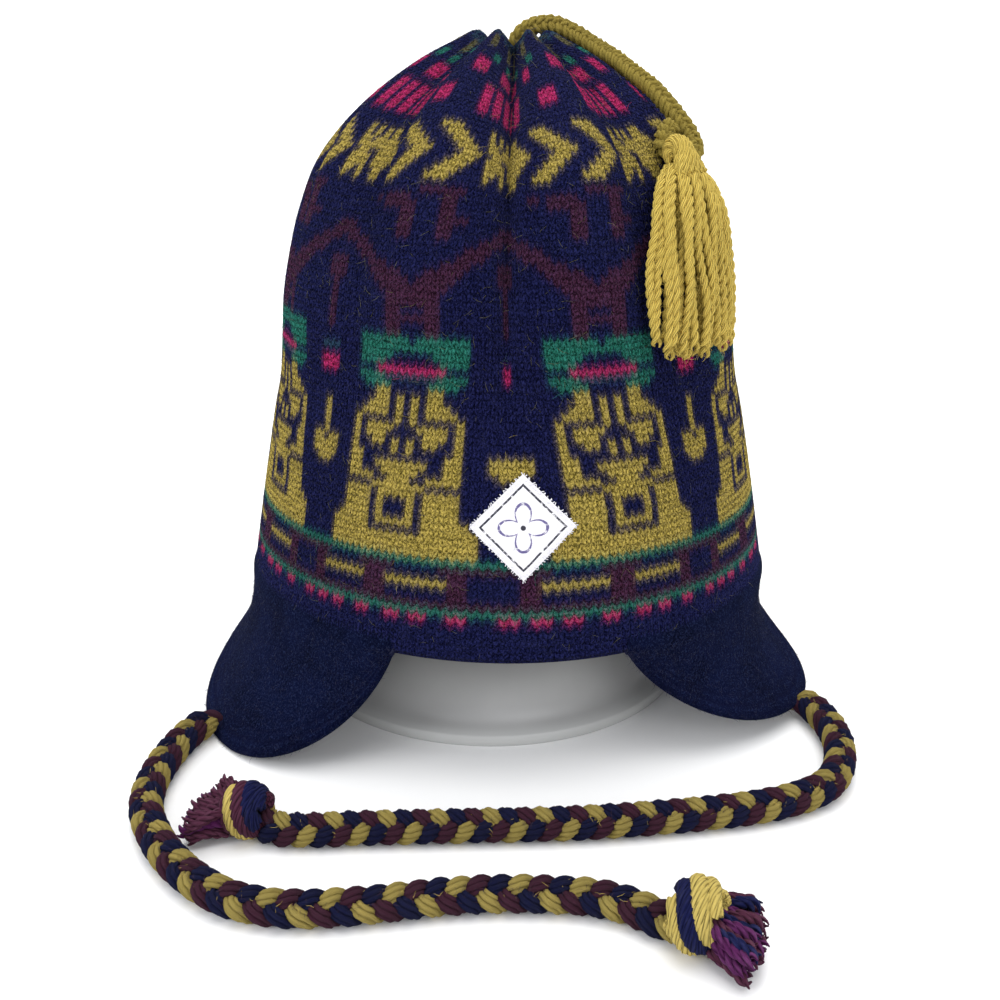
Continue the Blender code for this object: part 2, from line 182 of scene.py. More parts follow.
board_finish, board_shader, start = new_material("white_board", Roughness=0.6)
grain = start.noise(object_place(start), 60.0)
feed(board_shader, Base_Color=grain.blend((0.94, 0.94, 0.935), (0.965, 0.965, 0.96)))

FLOOR_HALF = 1.6
BACK_START = 0.75
BACK_BEND = 0.5
BACK_RISE = 2.0
floor_mesh = bmesh.new()
bmesh.ops.create_grid(floor_mesh, x_segments=2, y_segments=2, size=FLOOR_HALF)
far_edge = [edge for edge in floor_mesh.edges if min(v.co.y for v in edge.verts) > FLOOR_HALF - 0.01]
for vert in {vert for edge in far_edge for vert in edge.verts}:
    vert.co.y = BACK_START
spin = bmesh.ops.spin(
    floor_mesh, geom=far_edge, angle=radians(90), steps=24, axis=(1, 0, 0),
    cent=(0, BACK_START, BACK_BEND), use_merge=False, use_duplicate=False,
)
top_edge = [item for item in spin["geom_last"] if isinstance(item, bmesh.types.BMEdge)]
risen = bmesh.ops.extrude_edge_only(floor_mesh, edges=top_edge)["geom"]
risen_verts = [item for item in risen if isinstance(item, bmesh.types.BMVert)]
bmesh.ops.translate(floor_mesh, vec=(0, 0, BACK_RISE), verts=risen_verts)
bmesh.ops.recalc_face_normals(floor_mesh, faces=floor_mesh.faces)
board_mesh = bpy.data.meshes.new("floor")
floor_mesh.to_mesh(board_mesh)
floor_mesh.free()
board_mesh.shade_smooth()
board_mesh.materials.append(board_finish)
board = bpy.data.objects.new("floor", board_mesh)
scene.collection.objects.link(board)

world = bpy.data.worlds.new("room")
world.use_nodes = True
world.node_tree.nodes["Background"].inputs["Color"].default_value = (0.93, 0.95, 1.0, 1.0)
world.node_tree.nodes["Background"].inputs["Strength"].default_value = 0.75
scene.world = world


def add_light(name, place, target, size, watts, colour):
    data = bpy.data.lights.new(name, "AREA")
    data.size = size
    data.energy = watts
    data.color = colour
    light = bpy.data.objects.new(name, data)
    light.location = place
    light.rotation_euler = (Vector(target) - Vector(place)).to_track_quat("-Z", "Y").to_euler()
    scene.collection.objects.link(light)


add_light("light_above", (0.1, -0.15, 1.3), (0, 0, 0.1), 1.1, 10.0, (1.0, 0.99, 0.97))
add_light("light_left", (-1.0, -0.7, 0.8), (0, 0, 0.1), 0.7, 6.0, (0.97, 0.98, 1.0))
add_light("light_front", (0.6, -1.3, 0.7), (0, 0, 0.1), 0.8, 5.0, (1.0, 1.0, 1.0))
add_light("light_back", (0.0, 1.0, 1.4), (0, 0.9, 0.4), 1.2, 14.0, (1.0, 1.0, 1.0))

# Ties
# Two braids of three wool strands, navy, burgundy and gold, plaited flat by hand. Each
# strand is a bundle of plied yarns. They leave the flaps' lower corners and lie on the table.
BRAID_LIFT = 0.0050
BRAID_PITCH = {"left": 0.0168, "right": 0.0154}
BRAID_SWING = 0.0027
BRAID_RISE = 0.0021
BUNDLE_RADIUS = 0.00170
BUNDLE_YARNS = 7
BUNDLE_PITCH = 0.030
YARN_RADIUS = 0.00084
YARN_LENGTH = 0.235
TIE_STEP = 0.0008
ROOT_GATHER = 0.35
TIE_ROUTES = {
    "left": [
        (-0.1010, -0.0659), (-0.1032, -0.0690), (-0.1054, -0.0745), (-0.1074, -0.0825),
        (-0.1088, -0.0925), (-0.1089, -0.1045), (-0.1064, -0.1168), (-0.1002, -0.1290),
        (-0.0926, -0.1396), (-0.0840, -0.1483), (-0.0741, -0.1553), (-0.0635, -0.1589),
        (-0.0531, -0.1601), (-0.0413, -0.1593), (-0.0281, -0.1573), (-0.0162, -0.1553),
        (-0.0027, -0.1541), (0.0108, -0.1541), (0.0243, -0.1553), (0.0345, -0.1588),
        (0.0415, -0.1635), (0.0462, -0.1662),
    ],
    "right": [
        (0.1087, -0.0531), (0.1103, -0.0572), (0.1117, -0.0624), (0.1126, -0.0690),
        (0.1122, -0.0800), (0.1085, -0.0930), (0.1018, -0.1030), (0.0915, -0.1095),
        (0.0800, -0.1137), (0.0662, -0.1167), (0.0478, -0.1195), (0.0297, -0.1217),
        (0.0118, -0.1229), (-0.0059, -0.1235), (-0.0236, -0.1241), (-0.0413, -0.1247),
        (-0.0540, -0.1256), (-0.0636, -0.1254), (-0.0700, -0.1232),
    ],
}
NAVY = (0.0052, 0.0068, 0.0400)
GOLD = (0.3050, 0.2320, 0.0400)
TIE_GOLD = (0.4100, 0.3150, 0.0850)
BURGUNDY = (0.0540, 0.0140, 0.0300)
PURPLE = (0.0620, 0.0105, 0.0560)
TIE_COLOURS = {"navy": NAVY, "burgundy": BURGUNDY, "gold": TIE_GOLD}
UP = np.array([0.0, 0.0, 1.0])
TIE_ROOTS = {"left": (-0.0948, -0.0606, 0.0026), "right": (0.1016, -0.0492, 0.0046)}
BRAID_FACE = np.array([0.0, -0.65, 0.76])


def smooth_line(points, step):
    """Points a step apart on the smooth curve through the given points."""
    knots = np.array(points, float)
    knots = np.vstack([2 * knots[0] - knots[1], knots, 2 * knots[-1] - knots[-2]])
    share = np.linspace(0, 1, 16, endpoint=False)[:, None]
    fine = []
    for before, here, after, beyond in zip(knots, knots[1:], knots[2:], knots[3:]):
        fine.append(0.5 * (
            2 * here + (after - before) * share
            + (2 * before - 5 * here + 4 * after - beyond) * share ** 2
            + (3 * here - before - 3 * after + beyond) * share ** 3
        ))
    line = np.vstack(fine + [knots[-2][None]])
    lengths = np.concatenate([[0], np.cumsum(np.linalg.norm(np.diff(line, axis=0), axis=1))])
    places = np.linspace(0, lengths[-1], round(lengths[-1] / step) + 1)
    return np.stack([np.interp(places, lengths, line[:, axis]) for axis in range(3)], 1)


def along_line(line):
    """How far each point is along the line."""
    steps = np.linalg.norm(np.diff(line, axis=0), axis=1)
    return np.concatenate([[0], np.cumsum(steps)])


def sides_of(line, upward=UP):
    """Two directions square to the line at each of its points: across, and up."""
    along = np.gradient(line, axis=0)
    along /= np.linalg.norm(along, axis=1)[:, None]
    across = np.cross(upward, along)
    across /= np.linalg.norm(across, axis=1)[:, None]
    return across, np.cross(along, across)


def twisted(line, count, radius, pitch, turn=0.0, upward=UP):
    """Lines that wind round the given one, as plies do in a yarn."""
    across, up = sides_of(line, upward)
    angle = 2 * pi * along_line(line) / pitch + turn
    wound = []
    for i in range(count):
        at = (angle + 2 * pi * i / count)[:, None]
        wound.append(line + radius * (np.cos(at) * across + np.sin(at) * up))
    return wound


def tube_mesh(name, lines, radius, sides, finishes, taper=None):
    """One mesh of round tubes along (line, finish number) pairs; taper has a width a point."""
    curve = bpy.data.curves.new(name, "CURVE")
    curve.dimensions = "3D"
    curve.bevel_depth = radius
    curve.bevel_resolution = sides // 2 - 2
    curve.use_fill_caps = True
    for finish in finishes:
        curve.materials.append(finish)
    for line, finish in lines:
        spline = curve.splines.new("POLY")
        spline.points.add(len(line) - 1)
        spline.material_index = finish
        flat = np.ones((len(line), 4))
        flat[:, :3] = line
        spline.points.foreach_set("co", flat.ravel())
        if taper is not None:
            spline.points.foreach_set("radius", taper)
    holder = bpy.data.objects.new(name, curve)
    scene.collection.objects.link(holder)
    mesh = bpy.data.meshes.new_from_object(holder.evaluated_get(bpy.context.evaluated_depsgraph_get()))
    bpy.data.objects.remove(holder)
    bpy.data.curves.remove(curve)
    mesh.name = name
    mesh.shade_smooth()
    return mesh


def add_piece(name, mesh, finish=None):
    """A piece of the hat that rides on its one body."""
    if finish:
        mesh.materials.append(finish)
    piece = bpy.data.objects.new(name, mesh)
    scene.collection.objects.link(piece)
    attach(piece, "root")
    return piece


def uv_parts(start):
    return start.node("ShaderNodeUVMap", {"uv_map": "UVMap"}).parts()[:2]


def wool_yarn(name, colour, length, radius, fleck=0.35, plies=3):
    """Plied wool: the plies wind round each yarn, with painted shade in the grooves between them, and
    loose fibres lighten it.
    """
    made, shader, start = new_material(
        name, Roughness=0.92, Sheen_Weight=0.08, Sheen_Roughness=0.45, Specular_IOR_Level=0.06,
        Sheen_Tint=(*[min(1, 0.25 + 2.2 * part) for part in colour], 1))
    around, along = uv_parts(start)
    turns = length / (radius * 9.0)
    phase = (along * turns + around * plies).fraction()
    ply = abs(phase - 0.5) * 2.0
    lay = start.vector(along * length * 260, around * 9.0 + along * turns * 3.0)
    streaks = start.noise(lay, 1.0, 3.0, 0.7)
    patches = start.noise(object_place(start), 320.0, 3.0, 0.6)
    # Painted shade: the grooves between the plies are darkened to a third of the yarn's colour
    ply_groove_shade = tuple(part * 0.30 for part in colour)
    pale = tuple(min(1, part * 1.65 + 0.016) for part in colour)
    body = (streaks.between(0.3, 0.7) * fleck * 2.0).blend(colour, pale)
    shaded = ply.between(0.55, 1.0).blend(body, ply_groove_shade)
    feed(shader, Base_Color=patches.between(0.35, 0.75).blend(
        shaded, tuple(part * 1.12 for part in colour)))
    height = (1.0 - ply ** 2.0) * 0.75 + streaks * 0.45
    feed(shader, Normal=start.bump(height, radius * 0.55, 0.9))
    return made


tie_finishes = [
    wool_yarn(f"{name}_yarn", colour, YARN_LENGTH, YARN_RADIUS) for name, colour in TIE_COLOURS.items()]


def braid(line, pitch, swing, rise, upward):
    """The three middle lines of a plait along a line; it is flat where it swings more than it rises."""
    across, up = sides_of(line, upward)
    angle = 2 * pi * along_line(line) / pitch
    strands = []
    for i in range(3):
        at = (angle + 2 * pi * i / 3)[:, None]
        strands.append(line + across * swing * np.sin(at) + up * rise * np.sin(2 * at))
    return strands


tie_lines = {}
for side, route in TIE_ROUTES.items():
    tie_line = smooth_line([(x, y, BRAID_LIFT) for x, y in route], TIE_STEP)
    tie_lines[side] = tie_line
    deep = np.array(TIE_ROOTS[side])
    root = smooth_line([deep, (deep + tie_line[0]) / 2, tie_line[0]], TIE_STEP)
    gather = np.linspace(ROOT_GATHER, 1, len(root))[:, None]
    whole = np.vstack([root[:-1], tie_line])
    yarns = []
    root_yarns = []
    plait = braid(whole, BRAID_PITCH[side], BRAID_SWING, BRAID_RISE, BRAID_FACE)
    for finish, strand in enumerate(plait):
        for yarn in twisted(strand, BUNDLE_YARNS, BUNDLE_RADIUS, BUNDLE_PITCH, finish):
            yarn[:, 2] = np.maximum(yarn[:, 2], YARN_RADIUS)
            yarns.append((yarn[len(root) - 1:], finish))
            root_yarns.append((root + (yarn[:len(root)] - root) * gather, finish))
    mesh = tube_mesh(f"braid_{side}", yarns, YARN_RADIUS, 6, tie_finishes)
    add_piece(f"braid_{side}", mesh)
    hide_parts(f"tie_{side}")
    mesh = tube_mesh(f"braid_root_{side}", root_yarns, YARN_RADIUS, 6, tie_finishes)
    add_piece(f"braid_root_{side}", mesh)

# Top cord
# A gold wool cord, plaited tight and round, sewn into the gathered top. It ends in the
# small loop that the tassel hangs from.
TOP_CORD_ROUTE = [
    (0.0045, -0.0020, 0.2176), (0.0046, -0.0021, 0.2218), (0.0068, -0.0022, 0.2262),
    (0.0115, -0.0024, 0.2288), (0.0180, -0.0036, 0.2290), (0.0248, -0.0058, 0.2260),
    (0.0310, -0.0094, 0.2221), (0.0370, -0.0138, 0.2184), (0.0427, -0.0187, 0.2140),
    (0.0485, -0.0242, 0.2094), (0.0534, -0.0289, 0.2038), (0.0568, -0.0315, 0.1995),
    (0.0593, -0.0333, 0.1958), (0.0604, -0.0374, 0.1916), (0.0576, -0.0420, 0.1894),
    (0.0533, -0.0451, 0.1902), (0.0500, -0.0440, 0.1937), (0.0508, -0.0402, 0.1973),
    (0.0530, -0.0375, 0.1989),
]
CORD_STEP = 0.0006
CORD_PITCH = 0.0078
CORD_SWING = 0.00165
CORD_RISE = 0.00135
CORD_BUNDLE_YARNS = 4
CORD_BUNDLE_RADIUS = 0.00078
CORD_BUNDLE_PITCH = 0.012
CORD_YARN_RADIUS = 0.00068
CORD_GOLD = (0.3500, 0.2650, 0.0520)
CORD_SIDE = np.array([0.35, -1.0, 0.25])
cord_line = smooth_line(TOP_CORD_ROUTE, CORD_STEP)
cord_finish = wool_yarn("gold_cord_yarn", CORD_GOLD, 0.11, CORD_YARN_RADIUS)
yarns = []
plait = braid(cord_line, CORD_PITCH, CORD_SWING, CORD_RISE, CORD_SIDE)
for turn, strand in enumerate(plait):
    bundle = twisted(
        strand, CORD_BUNDLE_YARNS, CORD_BUNDLE_RADIUS, CORD_BUNDLE_PITCH, turn, CORD_SIDE)
    yarns += [(yarn, 0) for yarn in bundle]
cord_mesh = tube_mesh("crochet_cord", yarns, CORD_YARN_RADIUS, 6, [cord_finish])
top_cord = add_piece("crochet_cord", cord_mesh)
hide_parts("top_cord")

# Crown
# Stranded wool knitted in the round, 208 stitches about, in eight repeats of a traditional
# chart. It is gathered tight at the top, where the folds start, and slightly felted.
HEM_RADIUS = 0.0950
HEM_HEIGHT = 0.0440
CROWN_HEIGHT = 0.1835
KNIT_WALL = 0.0030
CROWN_AXIS_X = 0.0030
GATHER_DRIFT_X = 0.0015
GATHER_DRIFT_Y = -0.0020
FOLD_DEPTH = 0.0125
FOLD_SPAN = 22.5
SECTION_HEIGHTS = [
    0.000, 0.070, 0.150, 0.234, 0.320, 0.390, 0.470, 0.545, 0.617, 0.700, 0.790, 0.875, 0.945,
    0.985, 1.000, 0.975, 0.940,
]
SECTION_RADII = [
    1.000, 0.976, 0.948, 0.917, 0.885, 0.856, 0.842, 0.830, 0.804, 0.762, 0.688, 0.548, 0.368,
    0.212, 0.130, 0.082, 0.052,
]
SECTION_FOLDS = [
    0.00, 0.00, 0.00, 0.00, 0.02, 0.04, 0.09, 0.16, 0.25, 0.38, 0.54, 0.72, 0.85, 0.85, 0.60,
    0.25, 0.00,
]
SECTION_DRIFTS = [
    0.00, 0.00, 0.00, 0.00, 0.00, 0.00, 0.00, 0.02, 0.06, 0.14, 0.30, 0.55, 0.80, 1.00, 1.00,
    1.00, 1.00,
]
FOLDS = [
    (turn, FOLD_SPAN, depth) for turn, depth in (
        (-1, 1.00), (40, 0.62), (80, 1.00), (131, 0.70), (177, 0.85), (-137, 0.65), (-93, 0.80),
        (-44, 0.55),
    )
]
STITCHES = 208
REPEAT = 26
STITCH_COLUMNS = 4
KNIT_ROWS = 97
PUCKER_ROWS = 5
TURNED_ROWS = 3
LINING_ROWS = 8
STITCH_DROP = 0.62
WALE_RELIEF = 0.00042
KNIT_FELT = 0.25

# The chart, one line a row from the hem up. A short line is one half of a mirrored repeat.
# . navy, G gold, B burgundy, E green, M magenta, T dim green, O olive
CHART = """
..............
..............
..............
..............
..............
M.MM.MM..MM..MM.MM..MM...M
EEEEEEEEEEEEEE
BBBBBBBBBBBBBB
.BB.......BBB.......BB....
.BB.......BBB.......BB....
.BBGGGGGGGBBBGGGGGGGBB....
.BB.......BBB.......BB....
BBBB.....BBBBB.....BBBBBBB
EEEEEEEEEEEEEE
....GGGGGGGGGG
....GGGGGGGGGG
....GGGGGGGGGG
....GGGGGG....
.....GGGGG.GGG
......GGGG.G..
......GGGG.G..
......GGGG.G..
......GGGG.GGG
..........GGGG
......GGGG..GG
GG....GG...GGG
GGG...GG..GGGG
GGG...GG......
.GG...G.....G.
G.....G..GG.G.
G.....G.GGG...
G.....G.GGGG..
G.....G.....G.
G......GGGG.G.
........GGG.G.
.........GG.G.
.........GG...
.......EEEE...
MM....EEEETTTT
MM.......MMMMM
......EEEE....
TT....EEEEE...
......EEEEEEEE
......EEEEEEE.
B.........BB..
B.........BB..
B.........BBBB
B.........BB..
B.........BBBB
B.........BBBB
B........BBBBB
BB......BBBBB.
BB.....BBBBB..
BB....BBBB....
....BBBB......
...BBBB.......
.BBBB.........
BBB........BB...BB......BB
BB.........BB...BB.......B
...........BB...BBBB......
...........BB...BB........
........BBBBB...BB........
.....BB.BBBB....BB........
.............BBBBBB.......
..............
.GG...GGG....GGG.....G..G.
.GG....GGG....GGG....GG.G.
GGGG....GGG....GGG...GGGG.
GGGGG....GGG....GGG..GGGG.
GGGGGG....GGG....GGG..GG..
GGGGG....GGG....GGG..GGGGG
GGGG....GGG....GGG...GG.GG
.GG....GGG....GGG....G.G.G
.GG...GGG....GGG.....G.G.G
..............
..............
..............
M.MM.............MM.MM.MM.
M.MM.....MMM.....MM.MM.MM.
M.MM.....MMM.....MM.MM.MM.
M.MM.....MMM.....MM.MM.MM.
M.MM.............MM.MM.MM.
M.MM.............MM.MM.MM.
..............
..............
MMM...MM.....MMM....MMMM..
MMM...MM.....MMM....MMMM..
MMM...MM.....MMM....MMMM..
..............
..EE....EE......EE...EE...
..EE....EE......EE...EE...
..............
OO.....OO....OO.....OO....
OO.....OO....OO.....OO....
OO.....OO....OO.....OO....
T...TT.TTT..T.
TT.TTTT..TTT.T
"""
YARN_COLOURS = {
    ".": (0.0034, 0.0046, 0.0320), "G": GOLD, "B": (0.0360, 0.0092, 0.0210),
    "E": (0.0110, 0.1080, 0.0700), "M": (0.3100, 0.0130, 0.0720), "T": (0.0130, 0.0360, 0.0560),
    "O": (0.0800, 0.0720, 0.0220),
}

# Where the photographed repeats lie: they sit further apart low at the back, and the main
# gather draws them in above it.
WARP_ROWS = [0, 20, 42, 56, 97]
WARP_WIDTH = np.radians([3.0, 3.0, -1.3, -0.2, 0.0])
WARP_SHIFT = np.radians([1.0, 1.0, -0.9, -2.5, -1.0])


def direction(azimuth):
    """Azimuth 0 is the hat's back, -Y, and +X is to its right."""
    return np.stack([np.sin(azimuth), -np.cos(azimuth), np.zeros_like(azimuth)], -1)


# The folds are wide; the creases are the sharp lines where two lobes of the knit meet. Each is
# an azimuth and a half width in degrees, and a depth: a share of the deepest fold, or metres.
CREASES = [
    (-1, 4.5, 0.0052), (-38, 7.5, 0.0030), (33, 7.0, 0.0022), (-70, 7.0, 0.0020),
    (62, 7.0, 0.0016), (110, 8.0, 0.0026), (152, 8.0, 0.0022), (-118, 8.0, 0.0024),
    (-160, 8.0, 0.0026),
]
SECTION_CREASES = [
    0.00, 0.00, 0.00, 0.00, 0.00, 0.10, 0.45, 0.85, 1.00, 1.00, 0.90, 0.70, 0.50, 0.20, 0.00,
    0.00, 0.00,
]
CREASE_POWER = 1.3
FOLD_POWER = 1.5
HIDDEN_KNIT = 1.5
HIDDEN_BY_CREASES = 220


def valleys(azimuth, lines, power):
    """The depth of the deepest of the lines that an azimuth lies in."""
    deep = np.zeros_like(azimuth)
    for turn, span, depth in lines:
        apart = np.abs((azimuth - radians(turn) + pi) % (2 * pi) - pi)
        deep = np.maximum(deep, depth * np.clip(1 - apart / radians(span), 0, 1) ** power)
    return deep


# The profile, smoothed between the table's rows: radius, height, fold and drift by length
table = smooth_line(np.stack([
    np.array(SECTION_RADII) * HEM_RADIUS, np.array(SECTION_HEIGHTS) * CROWN_HEIGHT,
    np.zeros(len(SECTION_RADII)),
], 1), 0.0005)
table_at = along_line(table)
knots_at = []
for radius, height in zip(SECTION_RADII, SECTION_HEIGHTS):
    gap = np.hypot(table[:, 0] - radius * HEM_RADIUS, table[:, 1] - height * CROWN_HEIGHT)
    knots_at.append(table_at[np.argmin(gap)])
TOP_AT = knots_at[-3]
ROW_HEIGHT = TOP_AT / KNIT_ROWS


def crown_surface(at, azimuth, lift=0.0, folds=1.0):
    """Points of the crown's face, a length up its profile from the hem, and their normals."""
    radius = np.interp(at, table_at, table[:, 0])
    height = np.interp(at, table_at, table[:, 1])
    ends = [np.clip(at + step, 0, table_at[-1]) for step in (-0.001, 0.001)]
    slope_r = np.subtract(*[np.interp(end, table_at, table[:, 0]) for end in ends[::-1]])
    slope_z = np.subtract(*[np.interp(end, table_at, table[:, 1]) for end in ends[::-1]])
    size = np.maximum(np.hypot(slope_r, slope_z), 1e-6)
    out, rise = slope_z / size, -slope_r / size
    fold = valleys(azimuth, FOLDS, FOLD_POWER)
    crease = valleys(azimuth, CREASES, CREASE_POWER)
    sunk = np.interp(at, knots_at, SECTION_FOLDS) * FOLD_DEPTH * fold * folds - lift
    sunk = sunk + np.interp(at, knots_at, SECTION_CREASES) * crease * folds
    drift = np.interp(at, knots_at, SECTION_DRIFTS)
    points = direction(azimuth) * (radius - sunk * out)[..., None]
    points[..., 0] += CROWN_AXIS_X + drift * GATHER_DRIFT_X
    points[..., 1] += drift * GATHER_DRIFT_Y
    points[..., 2] += HEM_HEIGHT + height - sunk * rise
    normals = direction(azimuth) * out[..., None]
    normals[..., 2] += rise
    return points, normals


def warped(nominal, row):
    """Azimuths of places in the chart; the folds of the gather hide a part of the stitches."""
    width = np.interp(row, WARP_ROWS, WARP_WIDTH)
    shift = np.interp(row, WARP_ROWS, WARP_SHIFT)
    wanted = (nominal + width * np.sin(4 * nominal) + shift + pi) % (2 * pi) - pi
    turns = np.linspace(-2 * pi, 2 * pi, 2881)
    deep = valleys(turns, FOLDS, FOLD_POWER)
    deep = deep + valleys(turns, CREASES, CREASE_POWER) * HIDDEN_BY_CREASES
    hidden = np.cumsum(deep) * (turns[1] - turns[0])
    hidden -= hidden[1440]
    azimuth = np.zeros_like(wanted)
    for level in np.unique(row):
        fold = np.interp(level / KNIT_ROWS * TOP_AT, knots_at, SECTION_FOLDS) * HIDDEN_KNIT
        spread = turns + fold * hidden
        spread *= 4 * pi / (spread[-1] - spread[0])
        here = row == level
        azimuth[here] = np.interp(wanted[here], spread, turns)
    return azimuth


def chart_codes():
    """The chart as numbers, one for each row and stitch of a repeat."""
    codes = []
    for line in CHART.split():
        full = line + line[-2:0:-1] if len(line) < REPEAT else line
        codes.append([list(YARN_COLOURS).index(mark) for mark in full])
    return np.array(codes)


def yarn_at(stitch, row):
    """The chart's number for the stitches that hold the given places."""
    level = np.clip(np.floor(row), 0, KNIT_ROWS - 1).astype(int)
    return chart_codes()[level, np.floor(stitch).astype(int) % REPEAT]


def grid_mesh(name, columns, rows):
    """A grid of columns by rows of faces, and each vertex's place in it."""
    sheet = bmesh.new()
    bmesh.ops.create_grid(sheet, x_segments=columns, y_segments=rows, size=1.0, calc_uvs=True)
    if not sheet.loops.layers.uv:
        sheet.loops.layers.uv.new("UVMap")
    made = bpy.data.meshes.new(name)
    sheet.to_mesh(made)
    sheet.free()
    flat = np.zeros(len(made.vertices) * 3)
    made.vertices.foreach_get("co", flat)
    flat = flat.reshape(-1, 3)
    across = np.rint((flat[:, 0] + 1) / 2 * columns)
    upward = np.rint((flat[:, 1] + 1) / 2 * rows)
    return made, across, upward


def set_places(mesh, points, stitch, row):
    """Move a grid's vertices, and lay its UV map out in stitches and rows."""
    mesh.vertices.foreach_set("co", points.ravel())
    corners = np.zeros(len(mesh.loops), int)
    mesh.loops.foreach_get("vertex_index", corners)
    layer = mesh.uv_layers[0]
    layer.name = "UVMap"
    layer.data.foreach_set("uv", np.stack([stitch[corners], row[corners]], 1).ravel())
    mesh.update()


def face_middles(mesh, values):
    """The mean of a vertex value over each face's corners."""
    corners = np.zeros(len(mesh.loops), int)
    mesh.loops.foreach_get("vertex_index", corners)
    starts = np.zeros(len(mesh.polygons), int)
    mesh.polygons.foreach_get("loop_start", starts)
    return np.add.reduceat(values[corners], starts) / np.diff(np.append(starts, len(corners)))


def set_colours(mesh, name, domain, colours):
    """Store a colour for each face or vertex, for the material to read."""
    full = np.ones((len(colours), 4))
    full[:, :3] = colours
    mesh.attributes.new(name, "FLOAT_COLOR", domain).data.foreach_set("color", full.ravel())


def face_outwards(shell):
    bmesh.ops.recalc_face_normals(shell, faces=shell.faces)
    if shell.calc_volume(signed=True) < 0:
        bmesh.ops.reverse_faces(shell, faces=shell.faces)


def weld(mesh, distance=1e-6):
    """Join the grid's edges where they meet, close what is open and face it outwards."""
    shell = bmesh.new()
    shell.from_mesh(mesh)
    bmesh.ops.remove_doubles(shell, verts=shell.verts, dist=distance)
    bmesh.ops.dissolve_degenerate(shell, dist=distance, edges=shell.edges)
    bmesh.ops.holes_fill(shell, edges=shell.edges, sides=0)
    face_outwards(shell)
    shell.to_mesh(mesh)
    shell.free()
    mesh.shade_smooth()


# Grid rows from the bottom: the lining inside, the turned hem, the knitted face, the pucker
hem_row = LINING_ROWS + TURNED_ROWS
columns = STITCHES * STITCH_COLUMNS
grid_rows = hem_row + KNIT_ROWS + PUCKER_ROWS
crown_mesh, across, upward = grid_mesh("crown_knit", columns, grid_rows)
stitch = across / STITCH_COLUMNS
row = upward - hem_row
leg = across % STITCH_COLUMNS
drop = np.select([leg == 0, leg == 2], [0.5, -0.5], 0.0) * STITCH_DROP
inside_row = np.clip(row, 0, None)
fade = np.clip(inside_row / 1.5, 0, 1) * np.clip((KNIT_ROWS - inside_row) / 6.0, 0, 1)
all_rows = KNIT_ROWS + PUCKER_ROWS
shown_row = np.clip(inside_row + drop * fade, 0, all_rows)
at = np.interp(shown_row, [0, KNIT_ROWS, all_rows], [0, TOP_AT, knots_at[-1]])
nominal = (stitch - 0.5) * 2 * pi / STITCHES
azimuth = warped(nominal, inside_row)
relief = np.select([leg == 0, leg == 2], [-1.0, -0.45], 0.35) * WALE_RELIEF
thin = np.clip(np.interp(at, table_at, table[:, 0]) / (HEM_RADIUS * 0.75), 0.1, 1)
points, crown_normals = crown_surface(at, azimuth, relief * thin)
hem_turn = np.clip(-row, 0, TURNED_ROWS) / TURNED_ROWS
turned, _ = crown_surface(np.zeros_like(at), azimuth, -KNIT_WALL * (1 - np.cos(pi * hem_turn)) / 2)
turned[:, 2] = HEM_HEIGHT - KNIT_WALL * 0.45 * np.sin(pi * hem_turn) + 0.0006 * hem_turn
lining = np.clip(-row - TURNED_ROWS, 0, LINING_ROWS - 1) / (LINING_ROWS - 1)
inner, _ = crown_surface(lining * knots_at[12], azimuth, np.full_like(at, -KNIT_WALL))
cap = direction(azimuth) * HEM_RADIUS * 0.2
cap[:, 0] += CROWN_AXIS_X + GATHER_DRIFT_X * 0.9
cap[:, 1] += GATHER_DRIFT_Y * 0.9
cap[:, 2] = HEM_HEIGHT + CROWN_HEIGHT * 0.912
inner = np.where((row == -hem_row)[:, None], cap, inner)
crown_points = np.where((row < 0)[:, None], turned, points)
crown_points = np.where((row < -TURNED_ROWS)[:, None], inner, crown_points)
row_of_crown = row
vertex_codes = yarn_at(stitch, row)
set_places(crown_mesh, crown_points, stitch, row)
face_column = face_middles(crown_mesh, across)
face_stitch = face_column / STITCH_COLUMNS
face_row = face_middles(crown_mesh, upward) - hem_row
picked = yarn_at(face_stitch, face_row)
picked[face_row < 0] = 0

# At the middle of the back a few stitches of the motif stay navy, as the felting hides them
back_stitch = np.floor(face_stitch + 8) % STITCHES
mid_back = (back_stitch > 5) & (back_stitch < 11)
faint = (face_row > 28) & (face_row < 37) & mid_back
faint |= (face_row > 37) & (face_row < 42) & mid_back & ((back_stitch != 8) | (face_row > 40))
picked[faint] = 0
palette = np.array(list(YARN_COLOURS.values()))
set_colours(crown_mesh, "yarn", "FACE", palette[picked])

# Felting mixes the colours: each vertex has a mean of two rows and half a stitch either way
cells = np.zeros((grid_rows, columns, 3))
cells[(face_row + hem_row).astype(int), face_column.astype(int)] = palette[picked]
soft = (np.vstack([cells[:1], cells]) + np.vstack([cells, cells[-1:]])) / 2
for _ in range(2):
    soft = (soft + np.roll(soft, 1, 1)) / 2
    soft = (soft + np.roll(soft, -1, 1)) / 2
soft = np.concatenate([soft, soft[:, :1]], 1)
set_colours(crown_mesh, "felted", "POINT", soft[upward.astype(int), across.astype(int)])
weld(crown_mesh)


